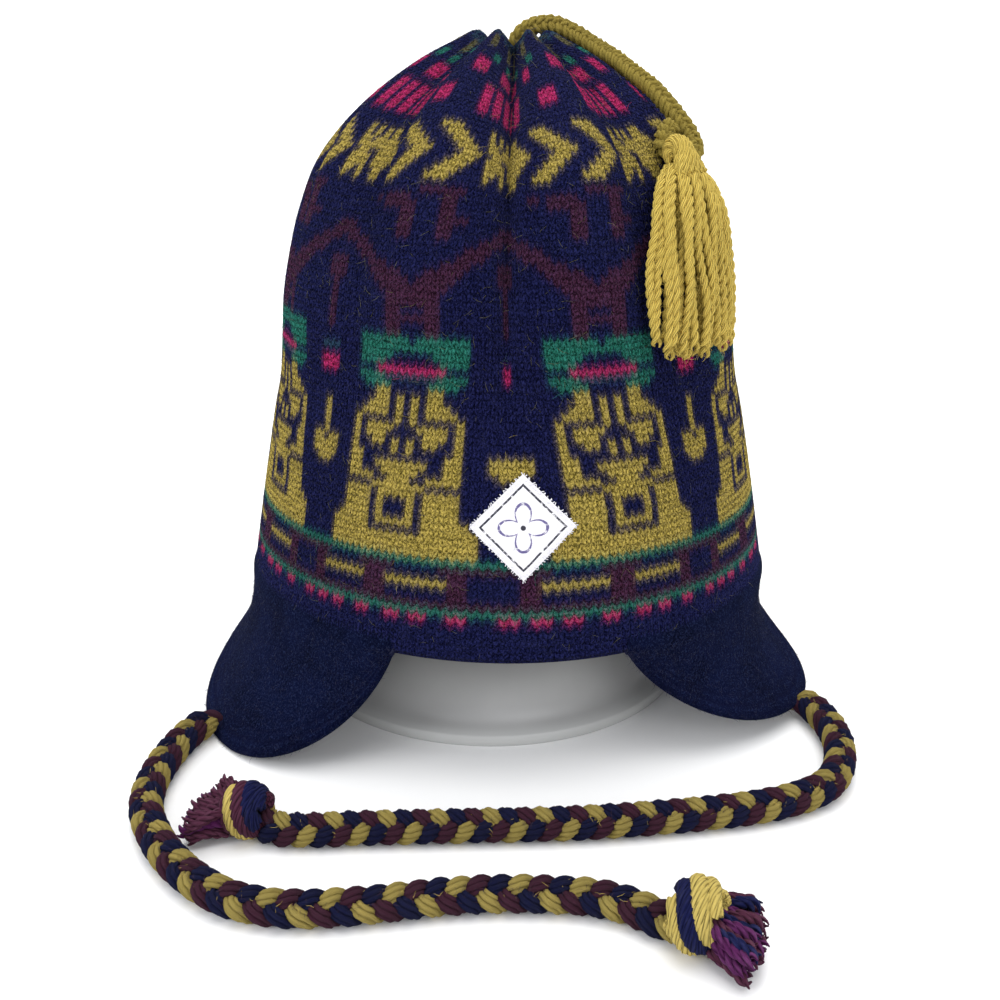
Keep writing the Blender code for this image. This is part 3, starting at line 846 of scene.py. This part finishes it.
def knit_material():
    """Stocking stitch: each stitch is a V of two plied legs, hazy with felted fibres; shade in its
    grooves, highlights and shade on the fibres and a bluish sheen are painted.
    """
    made, shader, start = new_material(
        "patterned_wool", Roughness=0.95, Sheen_Weight=0.04, Sheen_Roughness=0.30,
        Specular_IOR_Level=0.02, Sheen_Tint=(0.45, 0.47, 0.85, 1.0))
    place = object_place(start)
    yarn = start.node("ShaderNodeAttribute", {"attribute_name": "yarn"})
    mixed = start.node("ShaderNodeAttribute", {"attribute_name": "felted"})
    stitch, row = uv_parts(start)

    # A stitch's two legs, its fibres, how far its colour is felted away, and painted shade in the
    # grooves between the legs and between the rows
    side = abs(stitch.fraction() - 0.5) * 2.0
    leg = abs(side - 0.5) * 2.0
    wander = start.noise(place, 700.0, 3.0, 0.65)
    lay = start.vector(stitch.whole() * 3.7 + side * 0.9, row * 6.5 + side * 0.6, stitch.whole())
    fibre = start.noise(lay, 1.6, 4.0, 0.75)
    frayed = (wander - 0.5) * 0.35
    trough = (leg + frayed).between(0.60, 1.0)
    ends = (abs(row.fraction() - 0.5) + frayed * 0.5).between(0.20, 0.50)
    near_flaps = (1.0 - row.between(3.0, 9.0)) * abs(place.parts()[0]).between(0.036, 0.062)
    felt = near_flaps * 0.65 + KNIT_FELT
    body = fibre.between(0.30, 0.75).blend(yarn, yarn.scaled((1.75, 1.75, 1.70), (0.006, 0.007, 0.016)))
    # Painted shade: the grooves between legs and rows are darkened, less where the knit is felted
    body = ((trough * 0.75).larger(ends) * (1.0 - felt)).blend(body, yarn.scaled((0.22,) * 3))

    # Loose fibres over it, long ones and specks, in the felted colours: painted highlights where they
    # catch the light and painted shade between them, and a painted bluish sheen on top
    bent = start.noise(place, 150.0, 2.0, 0.5)
    lay = start.vector(stitch * 1.6 + bent * 7.0, row * 1.5 + bent * 9.0, bent)
    loose = start.noise(lay, 5.0, 3.0, 0.8)
    speck = start.noise(place, 1500.0, 2.0, 0.75)
    fibre_highlight = mixed.scaled((2.10, 2.05, 2.10), (0.014, 0.015, 0.036))
    shadow = mixed.scaled((0.16,) * 3)
    body = (loose.between(0.50, 0.62) * 0.70).blend(body, fibre_highlight)
    body = ((1.0 - loose.between(0.38, 0.48)) * 0.75).blend(body, shadow)
    body = (speck.between(0.52, 0.62) * 0.70).blend(body, fibre_highlight)
    body = ((1.0 - speck.between(0.38, 0.49)) * 0.80).blend(body, shadow)
    # Painted sheen: a faint bluish haze in cloudy patches over the knit
    painted_sheen = start.noise(place, 260.0, 5.0, 0.75).between(0.46, 0.78)
    cloud = start.noise(place, 34.0, 2.0, 0.5).between(0.25, 0.75)
    feed(shader, Base_Color=(painted_sheen * cloud * 0.16).blend(body, (0.050, 0.053, 0.125)))
    height = (1.0 - ends * 0.9) * (1.0 - trough * 0.6) * (1.0 - felt * 0.5)
    height = height + fibre * 0.45 + wander * 0.45
    feed(shader, Normal=start.bump(height, ROW_HEIGHT * 0.34))
    return made


crown = add_piece("crown_knit", crown_mesh, knit_material())
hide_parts("crown")

# Ear flaps
# Two tongues of the same navy knit, worked on below the hem and felted until the stitches
# hardly show. They flare over the table, and their borders are thick and round.
FLAP_FLARE = 0.0215
FLAP_LIFT = 0.0006
FLAP_TUCK = 0.0060
FLAP_TOP = HEM_HEIGHT - 0.0003
CORNER_SPAN = radians(40)
CORNER_KICK = 3.0

# Inner, tip and outer are azimuths in degrees from the back. Round and corner shape the outline
# before and after the tip; kick and spread bend and widen the flap towards its outer corner.
FLAPS = {
    "left": dict(
        side=-1, inner=23, tip=58, outer=108, round=2.6, corner=2.0, flare=1.24, lift=1.0,
        curl=1.8, kick=0.4, spread=-0.06),
    "right": dict(
        side=1, inner=23, tip=66, outer=106, round=2.0, corner=1.5, flare=1.04, lift=9.0,
        curl=2.4, kick=1.0, spread=0.4),
}
FLAP_COLUMNS = 160
TUCK_ROWS = 5
FACE_ROWS = 36
BORDER_ROWS = 8
BACK_ROWS = 14

felt_finish, shader, start = new_material(
    "felted_navy_wool", Roughness=0.97, Sheen_Weight=0.03, Sheen_Roughness=0.30,
    Specular_IOR_Level=0.01, Sheen_Tint=(0.35, 0.42, 0.90, 1.0))
place = object_place(start)
stitch, row = uv_parts(start)
speck = start.noise(place, 1500.0, 3.0, 0.75)
cloud = start.noise(place, 60.0, 4.0, 0.6)
bent = start.noise(place, 90.0, 2.0, 0.5)
lay = start.vector(stitch * 2.2 + bent * 5.0, row * 0.8 + bent * 3.0)
strays = start.noise(lay, 4.5, 4.0, 0.75)
ridge = ((row + bent * 0.8) * (2 * pi * 0.80)).sine() * 0.5 + 0.5
near_edge = 1.0 - row.between(1.0, 6.5)
base = cloud.between(0.30, 0.70).blend((0.0006, 0.0014, 0.0090), (0.0020, 0.0046, 0.0270))
# Painted highlights: paler specks and stray fibres where they catch the light
base = (speck.between(0.48, 0.66) * 0.80).blend(base, (0.0190, 0.0280, 0.0860))
base = (strays.between(0.52, 0.68) * 0.60).blend(base, (0.0290, 0.0380, 0.1000))
# Painted shade in the grooves between the ridges of the rows near the border
feed(shader, Base_Color=(near_edge * (1.0 - ridge) * 0.55).blend(base, (0.0030, 0.0038, 0.0200)))
height = speck * 0.9 + strays * 1.0 + near_edge * ridge * 0.8 + cloud * 0.8
feed(shader, Normal=start.bump(height, 0.0008, 1.0))


def flap_surface(flap, azimuth, share):
    """A flap's outer face from the hem (0) to its border (1): radius, height and full length.

    It follows the CAD flap, but for the outer corners, which spread a little less.
    """
    tip = radians(flap["tip"])
    end = np.where(azimuth < tip, radians(flap["inner"]), radians(flap["outer"]))
    away = np.abs(azimuth - tip) / np.abs(end - tip)
    power = np.where(azimuth < tip, flap["round"], flap["corner"])
    depth = np.maximum(0.02, (1 - np.clip(away, 0, 1) ** power) ** 0.8)
    fall = depth * share
    drop = FLAP_TOP - FLAP_LIFT * flap["lift"]
    lean = np.clip((azimuth - tip) / CORNER_SPAN, 0, 1)
    flare = flap["flare"] * (1 + flap["spread"] * lean)
    curl = flap["curl"] + CORNER_KICK * flap["kick"] * lean
    radius = HEM_RADIUS + FLAP_FLARE * flare * fall ** curl
    radius = radius + 0.0007 * np.sin(azimuth * 7.0 + flap["side"]) * np.sin(fall * 5.0)
    return radius, FLAP_TOP - drop * fall, depth * drop


def through(row, first, count):
    """How far a grid row is through the rows from first on, from 0 to 1."""
    return np.clip(row - first, 0, count) / count


flap_places = {}
for side, flap in FLAPS.items():
    rows = TUCK_ROWS + FACE_ROWS + BORDER_ROWS + BACK_ROWS + 1
    mesh, across, downward = grid_mesh(f"flap_{side}", FLAP_COLUMNS, rows)
    azimuth = radians(flap["inner"]) + radians(flap["outer"] - flap["inner"]) * across / FLAP_COLUMNS
    tuck = through(-downward, -TUCK_ROWS, TUCK_ROWS)
    face = through(downward, TUCK_ROWS, FACE_ROWS)
    round_turn = through(downward, TUCK_ROWS + FACE_ROWS, BORDER_ROWS) * pi
    back = through(downward, TUCK_ROWS + FACE_ROWS + BORDER_ROWS, BACK_ROWS)
    _, _, reach = flap_surface(flap, azimuth, face)
    end = 1 - np.minimum(0.6, KNIT_WALL / 2 / np.maximum(reach, 1e-4))
    share = np.where(back > 0, (1 - back) * end, face * end)
    radius, height, _ = flap_surface(flap, azimuth, share)
    radius_up, height_up, _ = flap_surface(flap, azimuth, np.clip(share - 0.02, 0, 1))
    radius_down, height_down, _ = flap_surface(flap, azimuth, share + 0.02)
    slope = np.hypot(radius_down - radius_up, height_down - height_up)
    fall_r, fall_z = (radius_down - radius_up) / slope, (height_down - height_up) / slope
    out = KNIT_WALL / 2 * (np.cos(round_turn) - 1)
    down = KNIT_WALL / 2 * np.sin(round_turn)
    radius = radius - out * fall_z + down * fall_r
    height = height + out * fall_r + down * fall_z
    proud = 0.0008 * np.clip(reach / 0.012, 0, 1) * (1 - share) ** 2 * (1 - tuck)
    radius = radius + np.where(round_turn == 0, proud, 0)
    tucked, _ = crown_surface(tuck * FLAP_TUCK, azimuth * flap["side"], 0.0006 - 0.0010 * tuck)
    around = direction(azimuth * flap["side"])
    points = around * radius[:, None]
    points[:, 0] += CROWN_AXIS_X
    points[:, 2] = np.maximum(height, 0.0004)
    points = np.where((tuck > 0)[:, None], tucked, points)
    last = downward == rows
    points[last] = crown_surface(
        np.full(last.sum(), FLAP_TUCK), azimuth[last] * flap["side"], np.full(last.sum(), -0.0010))[0]
    from_border = np.where(tuck > 0, reach + tuck * FLAP_TUCK, reach * (1 - share))
    set_places(mesh, points, azimuth * STITCHES / (2 * pi), from_border / ROW_HEIGHT)
    weld(mesh)
    piece = add_piece(f"flap_{side}", mesh, felt_finish)
    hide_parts(f"ear_flap_{side}")
    normals = around * -fall_z[:, None]
    normals[:, 2] = fall_r
    shown = (face > 0) & (round_turn < 1.6) & (back == 0)
    flap_places[side] = (points[shown], normals[shown])

# Label
# A small square of white woven tape, sewn on point down at the back. Its raw edges fray. The
# maker's print is left out: it has a thin frame and a plain four-petalled flower.
LABEL_SIDE = 0.0228
LABEL_THICKNESS = 0.0006
LABEL_HEIGHT = 0.0853
LABEL_AZIMUTH = radians(2.6)
LABEL_CELLS = 40
WEAVE_THREADS = 30
THREAD_RADIUS = 0.00016
RISING = np.argmax(table[:, 1]) + 1


def over_crown(height, azimuth, along, lift):
    """Places over the crown, without its folds, and their normals."""
    at = np.interp(height - HEM_HEIGHT, table[:RISING, 1], table_at[:RISING])
    turned = azimuth + along / np.interp(at, table_at, table[:, 0])
    return crown_surface(at, turned, lift, 0.0)


label_finish, shader, start = new_material(
    "white_cloth", Roughness=0.85, Sheen_Weight=0.15, Specular_IOR_Level=0.3)
across, upward = uv_parts(start)
weave = (across * (2 * pi * WEAVE_THREADS)).sine() * (upward * (2 * pi * WEAVE_THREADS)).sine()
wander = start.noise(object_place(start), 900.0, 3.0, 0.6)
one, two = [abs(part - 0.5) * 2.0 for part in (across, upward)]
line = abs(one.larger(two) - 0.80 + (wander - 0.5) * 0.02) < 0.028
petals = one ** 2.0 + two ** 2.0
turned = one * two * 4.0
radius = petals ** 0.5
flower = abs(radius - 0.22 - turned / (petals + 0.02) * 0.22 + (wander - 0.5) * 0.04) < 0.036
print_place = line.larger(flower).larger(radius < 0.07)
# Painted shade between the woven threads: the cloth is darker where the weave dips, lighter on the
# threads
cloth = (weave * 0.5 + 0.5).blend((0.80, 0.79, 0.82), (0.90, 0.89, 0.91))
cloth = wander.between(0.3, 0.7).blend(cloth, (0.82, 0.80, 0.86))
inked = flower.blend((0.030, 0.030, 0.045), (0.130, 0.110, 0.260))
feed(shader, Base_Color=(print_place * wander.between(0.28, 0.50)).blend(cloth, inked))
feed(shader, Normal=start.bump(weave * 0.5 + wander, 0.00018, 0.9))

label_mesh, across, upward = grid_mesh("label_cloth", LABEL_CELLS, LABEL_CELLS)


def on_label(first, second, lift):
    """A place on the cloth, whose own sides run along its first and second axes."""
    first, second = first * LABEL_SIDE, second * LABEL_SIDE
    flat = (first - second) * cos(pi / 4), (first + second) * cos(pi / 4)
    return over_crown(LABEL_HEIGHT + flat[1], LABEL_AZIMUTH, flat[0], lift)[0]


first, second = across / LABEL_CELLS - 0.5, upward / LABEL_CELLS - 0.5
ruffle = 0.00035 * np.sin(first * 17) * np.sin(second * 14 + 1) * (np.abs(first) + np.abs(second))
lift = 0.0003 + LABEL_THICKNESS + ruffle
set_places(label_mesh, on_label(first, second, lift), first + 0.5, second + 0.5)
cloth = bmesh.new()
cloth.from_mesh(label_mesh)
bmesh.ops.recalc_face_normals(cloth, faces=cloth.faces)
cloth.faces.ensure_lookup_table()
if cloth.faces[0].normal.y > 0:
    bmesh.ops.reverse_faces(cloth, faces=cloth.faces)
bmesh.ops.solidify(cloth, geom=cloth.faces, thickness=LABEL_THICKNESS)
cloth.to_mesh(label_mesh)
cloth.free()
label = add_piece("label_cloth", label_mesh, label_finish)
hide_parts("label")

chance = np.random.default_rng(7)
threads = []
for turn in range(4):
    for place_along in np.linspace(-0.49, 0.49, 26) + chance.uniform(-0.015, 0.015, 26):
        out = np.array([0.490, 0.505, 0.5 + chance.uniform(0.012, 0.034)])
        drift = place_along + np.array([0, 0.2, 1.0]) * chance.uniform(-0.03, 0.03)
        one, two = [(drift, out), (drift, -out), (out, drift), (-out, drift)][turn]
        threads.append((on_label(one, two, 0.0006 + chance.uniform(-0.0002, 0.0004, 3)), 0))
for share in np.linspace(-0.42, 0.42, 11):
    for one, two in ((share, 0.465), (share, -0.465), (0.465, share), (-0.465, share)):
        step = np.array([-0.022, -0.018, 0.018, 0.022])
        rise = np.array([0.0002, 0.0011, 0.0011, 0.0002]) + 0.0001
        run = (one + step, two + 0 * step) if abs(two) == 0.465 else (one + 0 * step, two + step)
        threads.append((on_label(*run, rise), 0))
thread_finish, shader, start = new_material("white_thread", Roughness=0.8, Sheen_Weight=0.2)
grey = start.noise(object_place(start), 1500.0)
feed(shader, Base_Color=grey.blend((0.66, 0.65, 0.69), (0.84, 0.83, 0.86)))
thread_mesh = tube_mesh("label_threads", threads, THREAD_RADIUS, 4, [thread_finish])
label_threads = add_piece("label_threads", thread_mesh)

# Tassel
# About forty ends of thick two-ply gold wool, folded over the cord's loop. They bulge below
# the fold, hang over the crown and end unevenly where the plies open.
TASSEL_TOP = 0.1862
TASSEL_FOOT = 0.1305
TASSEL_WIDTH = 0.0382
TASSEL_TOP_AZIMUTH = radians(46.2)
TASSEL_FOOT_AZIMUTH = radians(44.6)
TASSEL_SWING_LENGTH = 0.0536
TASSEL_LAYERS = [(0.0020, 14, 1.0), (0.0046, 13, 1.02), (0.0074, 12, 0.92)]
TASSEL_POINTS = 62
TASSEL_PLY = 0.00086
TASSEL_FACE = np.array([sin(0.8), -cos(0.8), 0.3])
TASSEL_GOLD = (0.5000, 0.3650, 0.0760)
SPREAD_AT = [0.000, 0.003, 0.007, 0.013, 0.024, 0.045, 0.060]
SPREADS = [0.22, 0.48, 0.68, 0.84, 0.96, 1.02, 0.98]
LIFTS = [0.50, 0.85, 1.10, 1.15, 1.06, 0.95, 0.90]
tassel_finish = wool_yarn("gold_tassel_yarn", TASSEL_GOLD, 0.055, TASSEL_PLY, 0.45, 2)


def opened(line, ply, share, start):
    """A ply that leaves its yarn's middle line where the yarn's share passes the start."""
    return line + (ply - line) * (1 + 1.1 * np.clip((share - start) / (1 - start), 0, 1)[:, None])


def narrowed(count, last):
    """The widths of a tube's points: 1, but for the last ones."""
    return np.append(np.ones(count - len(last)), last)


chance = np.random.default_rng(11)
strands = []
tassel_places = []
for layer, (lift, count, wide) in enumerate(TASSEL_LAYERS):
    for number in range(count):
        spot = ((number + 0.5) / count - 0.5) * 2 + chance.uniform(-0.06, 0.06)
        length = (TASSEL_TOP - TASSEL_FOOT) * chance.uniform(0.90, 1.0) * (1 - 0.07 * spot ** 2)
        down = np.linspace(0, 1, TASSEL_POINTS) * length
        grown = np.clip(down / 0.02, 0, 1)
        sway = 0.0010 * np.sin(down * chance.uniform(90, 170) + chance.uniform(0, 6)) * grown
        aside = spot * wide * TASSEL_WIDTH / 2 * np.interp(down, SPREAD_AT, SPREADS) + sway
        rise = 0.0009 + (lift + 0.0008) * np.interp(down, SPREAD_AT, LIFTS)
        rise = rise + 0.0006 * np.sin(down * 150 + number * 1.9) * grown
        rise = rise * (1 - 0.45 * spot ** 2 * (layer > 0))
        swing = (TASSEL_FOOT_AZIMUTH - TASSEL_TOP_AZIMUTH) * down / TASSEL_SWING_LENGTH
        swing = TASSEL_TOP_AZIMUTH + swing
        strand, normals = over_crown(TASSEL_TOP - down, swing, aside, rise)
        tassel_places.append((strand[6:], normals[6:]))
        pitch = chance.uniform(0.0056, 0.0074)
        for ply in twisted(strand, 2, TASSEL_PLY * 0.76, pitch, number, TASSEL_FACE):
            strands.append((opened(strand, ply, down / length, 0.94), 0))
ends = narrowed(TASSEL_POINTS, [0.9, 0.65, 0.35])
tassel_mesh = tube_mesh("tassel_strands", strands, TASSEL_PLY, 6, [tassel_finish], ends)
tassel = add_piece("tassel_strands", tassel_mesh)
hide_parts("tassel")

# The strands' fold, a small bulb round the foot of the cord's loop
FOLD_STRANDS = 15
OUTER_FOLDS = 8
fold_lines = []
middles, normals = over_crown(
    np.array([TASSEL_TOP + 0.0022]), TASSEL_TOP_AZIMUTH, np.array([0.0]), np.array([0.0050]))
middle = middles[0]
normal = normals[0]
rise = UP - normal * normal[2]
rise /= np.linalg.norm(rise)
sideways = np.cross(rise, normal)
for number in range(FOLD_STRANDS):
    share = (number % OUTER_FOLDS - 3.5) / 3.5
    size = (0.0042 if number < OUTER_FOLDS else 0.0022) * (1 - 0.32 * share ** 2)
    turn = np.linspace(-0.1, pi + 0.4, 18)[:, None]
    loop = middle + sideways * share * 0.0026 + np.cos(turn) * normal * size * 0.9
    loop = loop + np.sin(turn) * rise * size * 1.2
    fall = np.linspace(0.0070, 0.0006, 8)[:, None]
    front = loop[0] - rise * fall - normal * 0.10 * fall + sideways * share * fall * 0.50
    loop = np.vstack([front, loop])
    for ply in twisted(loop, 2, TASSEL_PLY * 0.7, 0.0058, number, sideways):
        fold_lines.append((ply, 0))
fold_mesh = tube_mesh("tassel_fold", fold_lines, TASSEL_PLY * 0.9, 6, [tassel_finish])
tassel_fold = add_piece("tassel_fold", fold_mesh)

# Knots and loose ends
# Each tie ends in a knot of its own thick strands, gold and navy on the left, all three
# colours on the right. Beyond it the plied ends fan out, mostly burgundy and purple.
KNOT_LENGTH = 0.0100
KNOT_RADIUS = {"left": 0.0102, "right": 0.0102 * 0.84}
KNOT_TURNS = {"left": 0.62, "right": 0.80}
KNOT_STRANDS = {"left": [0, 2, 2, 2, 2], "right": [0, 1, 2, 1, 0]}
KNOT_YARN_RADIUS = 0.00110
TUFT_STRANDS = 27
TUFT_POINTS = 24
TUFT_LENGTH = 0.0138
TUFT_TURNS = {"left": radians(12), "right": 0.0}
TUFT_COLOURS = {"left": [0, 1, 0, 1, 0, 1, 1, 2, 0], "right": [0, 0, 1, 0, 0, 1, 0, 0, 1]}
STRAND_RADIUS = 0.00260
TUFT_PLY = 0.00088
knot_finishes = [
    wool_yarn(f"knot_{name}_yarn", colour, 0.04, 0.0009) for name, colour in TIE_COLOURS.items()]
tuft_finishes = [
    wool_yarn(f"tuft_{name}_yarn", colour, 0.014, TUFT_PLY, 0.5, 2)
    for name, colour in (("burgundy", BURGUNDY), ("purple", PURPLE), ("navy", NAVY))]
for side, tie_line in tie_lines.items():
    chance = np.random.default_rng(21)
    ahead = tie_line[-1] - tie_line[-4]
    ahead[2] = 0
    ahead /= np.linalg.norm(ahead)
    across = np.cross(UP, ahead)
    radius = KNOT_RADIUS[side]
    start_at = tie_line[-1] * [1, 1, 0] + UP * (radius + 0.0003) + ahead * 0.0003
    yarns = []
    for number, colour in enumerate(KNOT_STRANDS[side]):
        share = np.linspace(0, 1, 46)
        turn = 2 * pi * (KNOT_TURNS[side] * share + number / len(KNOT_STRANDS[side])) + 0.9
        barrel = (radius - STRAND_RADIUS) * (0.42 + 0.58 * np.sin(pi * (0.10 + 0.80 * share)))
        line = start_at + ahead * (share * KNOT_LENGTH)[:, None]
        line = line + across * (barrel * np.cos(turn))[:, None] + UP * (barrel * np.sin(turn))[:, None]
        for ring, ring_radius in ((7, STRAND_RADIUS - 0.0008), (3, 0.0008)):
            for yarn in twisted(line, ring, ring_radius, 0.017, 0.4, ahead):
                yarns.append((yarn, colour))
    core = start_at + ahead * np.linspace(0.0006, KNOT_LENGTH - 0.0006, 12)[:, None]
    for yarn in twisted(core, 5, radius * 0.33, 0.05, 0.2):
        yarns.append((yarn, 1))
    knot_mesh = tube_mesh(f"knot_{side}_strands", yarns, KNOT_YARN_RADIUS, 6, knot_finishes)
    knot = add_piece(f"knot_{side}_strands", knot_mesh)
    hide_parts(f"knot_{side}")
    outward = np.array(Matrix.Rotation(TUFT_TURNS[side], 3, "Z") @ Vector(ahead))
    sideways = np.cross(UP, outward)
    base = start_at + ahead * (KNOT_LENGTH - 0.0010)
    lines = []
    for number in range(TUFT_STRANDS):
        layer = number % 3
        spread = ((number // 3) / 8 - 0.5) * 2 + chance.uniform(-0.10, 0.10)
        length = TUFT_LENGTH * chance.uniform(0.85, 1.12)
        share = np.linspace(0, 1, TUFT_POINTS)
        lift = radius * (0.62 + 0.34 * (layer - 1)) * (1 - 0.25 * share ** 2)
        line = base + outward * (length * share * (1 - 0.22 * spread ** 2))[:, None]
        line = line + sideways * (spread * (0.0050 + 0.0066 * np.sin(share * 1.45)))[:, None]
        line[:, 2] = 0.0016 + lift + 0.0007 * np.sin(share * 5 + number)
        colour = TUFT_COLOURS[side][(number * 5) % 9]
        for ply in twisted(line, 3, TUFT_PLY * 0.95, 0.0085, number):
            ply = opened(line, ply, share, 0.72)
            ply[:, 2] = np.maximum(ply[:, 2], TUFT_PLY)
            lines.append((ply, colour))
    ends = narrowed(TUFT_POINTS, [0.9, 0.75, 0.5, 0.25])
    tuft_mesh = tube_mesh(f"tuft_{side}_ends", lines, TUFT_PLY, 6, tuft_finishes, ends)
    tuft = add_piece(f"tuft_{side}_ends", tuft_mesh)
    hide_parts(f"tuft_{side}")

# Stand
# A plain round display stand of satin grey plastic: a hollow, nearly straight tower with a
# domed top under the crown and a low lip that rests on the table.
STAND_AXIS_X = -0.0030
STAND_PROFILE = [
    (0.0726, 0.0000), (0.0730, 0.0004), (0.0730, 0.0036), (0.0726, 0.0041), (0.0700, 0.0052),
    (0.0682, 0.0066), (0.0668, 0.0090), (0.0661, 0.0119), (0.0654, 0.0200), (0.0646, 0.0340),
    (0.0634, 0.0764), (0.0620, 0.1189), (0.0608, 0.1480), (0.0584, 0.1698), (0.0550, 0.1774),
    (0.0501, 0.1836), (0.0363, 0.1956), (0.0195, 0.2056), (0.0108, 0.2111), (0.0000, 0.2113),
    (0.0000, 0.2086), (0.0054, 0.2086), (0.0183, 0.2032), (0.0347, 0.1936), (0.0484, 0.1817),
    (0.0530, 0.1758), (0.0562, 0.1686), (0.0584, 0.1480), (0.0595, 0.1189), (0.0609, 0.0764),
    (0.0621, 0.0340), (0.0636, 0.0119), (0.0650, 0.0060), (0.0668, 0.0022), (0.0670, 0.0000),
]
stand_finish, shader, start = new_material(
    "satin_grey_plastic", Roughness=0.38, Specular_IOR_Level=0.45)
place = object_place(start)
height = place.parts()[2]
mottle = start.noise(place, 25.0, 3.0, 0.5)
pale = mottle.between(0.3, 0.7).blend((0.400, 0.400, 0.395), (0.450, 0.450, 0.445))
# Painted shadow: the grey darkens from the lip up towards the crown, under the hat; the lip is painted
# lighter, out of its shadow
pale = height.between(0.008, 0.044).blend(pale, (0.130, 0.132, 0.125))
feed(shader, Base_Color=height.between(0.0040, 0.0065).blend((0.520, 0.525, 0.515), pale))
feed(shader, Roughness=0.30 + start.noise(place, 400.0, 2.0, 0.5) * 0.18)
profile = bmesh.new()
corners = [profile.verts.new((radius, 0, height)) for radius, height in STAND_PROFILE]
for corner, after in zip(corners, corners[1:] + corners[:1]):
    profile.edges.new((corner, after))
bmesh.ops.spin(
    profile, geom=list(profile.verts) + list(profile.edges), angle=2 * pi, steps=128,
    axis=(0, 0, 1), cent=(0, 0, 0), use_merge=True, use_duplicate=False)
bmesh.ops.remove_doubles(profile, verts=profile.verts, dist=0.00002)
bmesh.ops.translate(profile, vec=(STAND_AXIS_X, 0, 0), verts=profile.verts)
face_outwards(profile)
stand_mesh = bpy.data.meshes.new("stand_tower")
profile.to_mesh(stand_mesh)
profile.free()
stand_mesh.shade_smooth()
stand = add_piece("stand_tower", stand_mesh, stand_finish)
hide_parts("stand")

# Loose fibres
# Wool hairs that stand off the felted knit, each in its yarn's colour or in olive. They belong
# to the pieces that they grow from and are too fine for the CAD part.
HAIR_RADIUS = 0.000040
CROWN_HAIRS = 9400
OLIVE_HAIRS = 0.34
FLAP_HAIRS = 3200
TASSEL_HAIRS = 2100
HAIRLESS_STRANDS = 13
TIE_HAIRS = 1000


def hair_finish(name, colour):
    made, shader, start = new_material(name, Roughness=0.9, Sheen_Weight=0.1, Specular_IOR_Level=0.1)
    varied = start.noise(object_place(start), 500.0)
    pale = tuple(min(1, part * 1.6 + 0.024) for part in colour)
    feed(shader, Base_Color=varied.between(0.3, 0.7).blend(colour, pale))
    return made


def hairs(name, places, normals, colours, finishes, length, seed):
    """Fine bent hairs that start a little inside a surface and lean off it."""
    chance = np.random.default_rng(seed)
    lean = chance.normal(size=places.shape)
    lean -= (lean * normals).sum(1)[:, None] * normals
    lean /= np.linalg.norm(lean, axis=1)[:, None]
    bend = np.cross(lean, normals) * chance.uniform(-0.6, 0.6, (len(places), 1))
    reach = length * chance.uniform(0.35, 1.0, (len(places), 1))
    rise = chance.uniform(0.05, 0.6, (len(places), 1))
    steps = []
    for share in (0.0, 0.5, 1.0):
        along = lean * share + bend * share ** 2
        up = normals * (rise * (share - 0.35 * share ** 2))
        steps.append(places - normals * 0.0002 + (along + up) * reach)
    steps = np.stack(steps, 1)
    lines = list(zip(steps, colours.tolist()))
    add_piece(name, tube_mesh(name, lines, HAIR_RADIUS, 4, finishes, [1.0, 0.9, 0.4]))


chance = np.random.default_rng(5)
outer = np.flatnonzero((row_of_crown > 1) & (row_of_crown < KNIT_ROWS + 2))
picks = chance.choice(outer, CROWN_HAIRS)
olive = list(YARN_COLOURS).index("O")
crown_codes = np.where(chance.uniform(size=CROWN_HAIRS) < OLIVE_HAIRS, olive, vertex_codes[picks])
names = ("navy", "gold", "burgundy", "green", "magenta", "teal", "olive")
crown_hair = [hair_finish(f"hair_{name}", YARN_COLOURS[mark]) for name, mark in zip(names, YARN_COLOURS)]
hairs(
    "crown_hairs", crown_points[picks], crown_normals[picks], crown_codes, crown_hair, 0.0040,
    31)
for side, (places, normals) in flap_places.items():
    picks = chance.choice(len(places), FLAP_HAIRS)
    hairs(
        f"flap_hairs_{side}", places[picks], normals[picks], np.zeros(FLAP_HAIRS, int),
        crown_hair[:1], 0.0024, 32)
tassel_hair = [hair_finish("hair_tassel", TASSEL_GOLD)]
places = np.vstack([part[0] for part in tassel_places[HAIRLESS_STRANDS:]])
normals = np.vstack([part[1] for part in tassel_places[HAIRLESS_STRANDS:]])
picks = chance.choice(len(places), TASSEL_HAIRS)
hairs(
    "tassel_hairs", places[picks] + normals[picks] * 0.0008, normals[picks],
    np.zeros(TASSEL_HAIRS, int), tassel_hair, 0.0034, 33)
tie_hair = [crown_hair[0], crown_hair[2], tassel_hair[0]]
for side, tie_line in tie_lines.items():
    picks = chance.choice(len(tie_line), TIE_HAIRS)
    turn = chance.uniform(0, 2 * pi, (TIE_HAIRS, 1))
    across, up = sides_of(tie_line)
    off = across[picks] * np.cos(turn) + up[picks] * np.abs(np.sin(turn))
    colours = chance.choice([0, 0, 1, 1, 1, 2], TIE_HAIRS)
    hairs(
        f"tie_hairs_{side}", tie_line[picks] + off * 0.0042, off, colours, tie_hair, 0.0022,
        34)
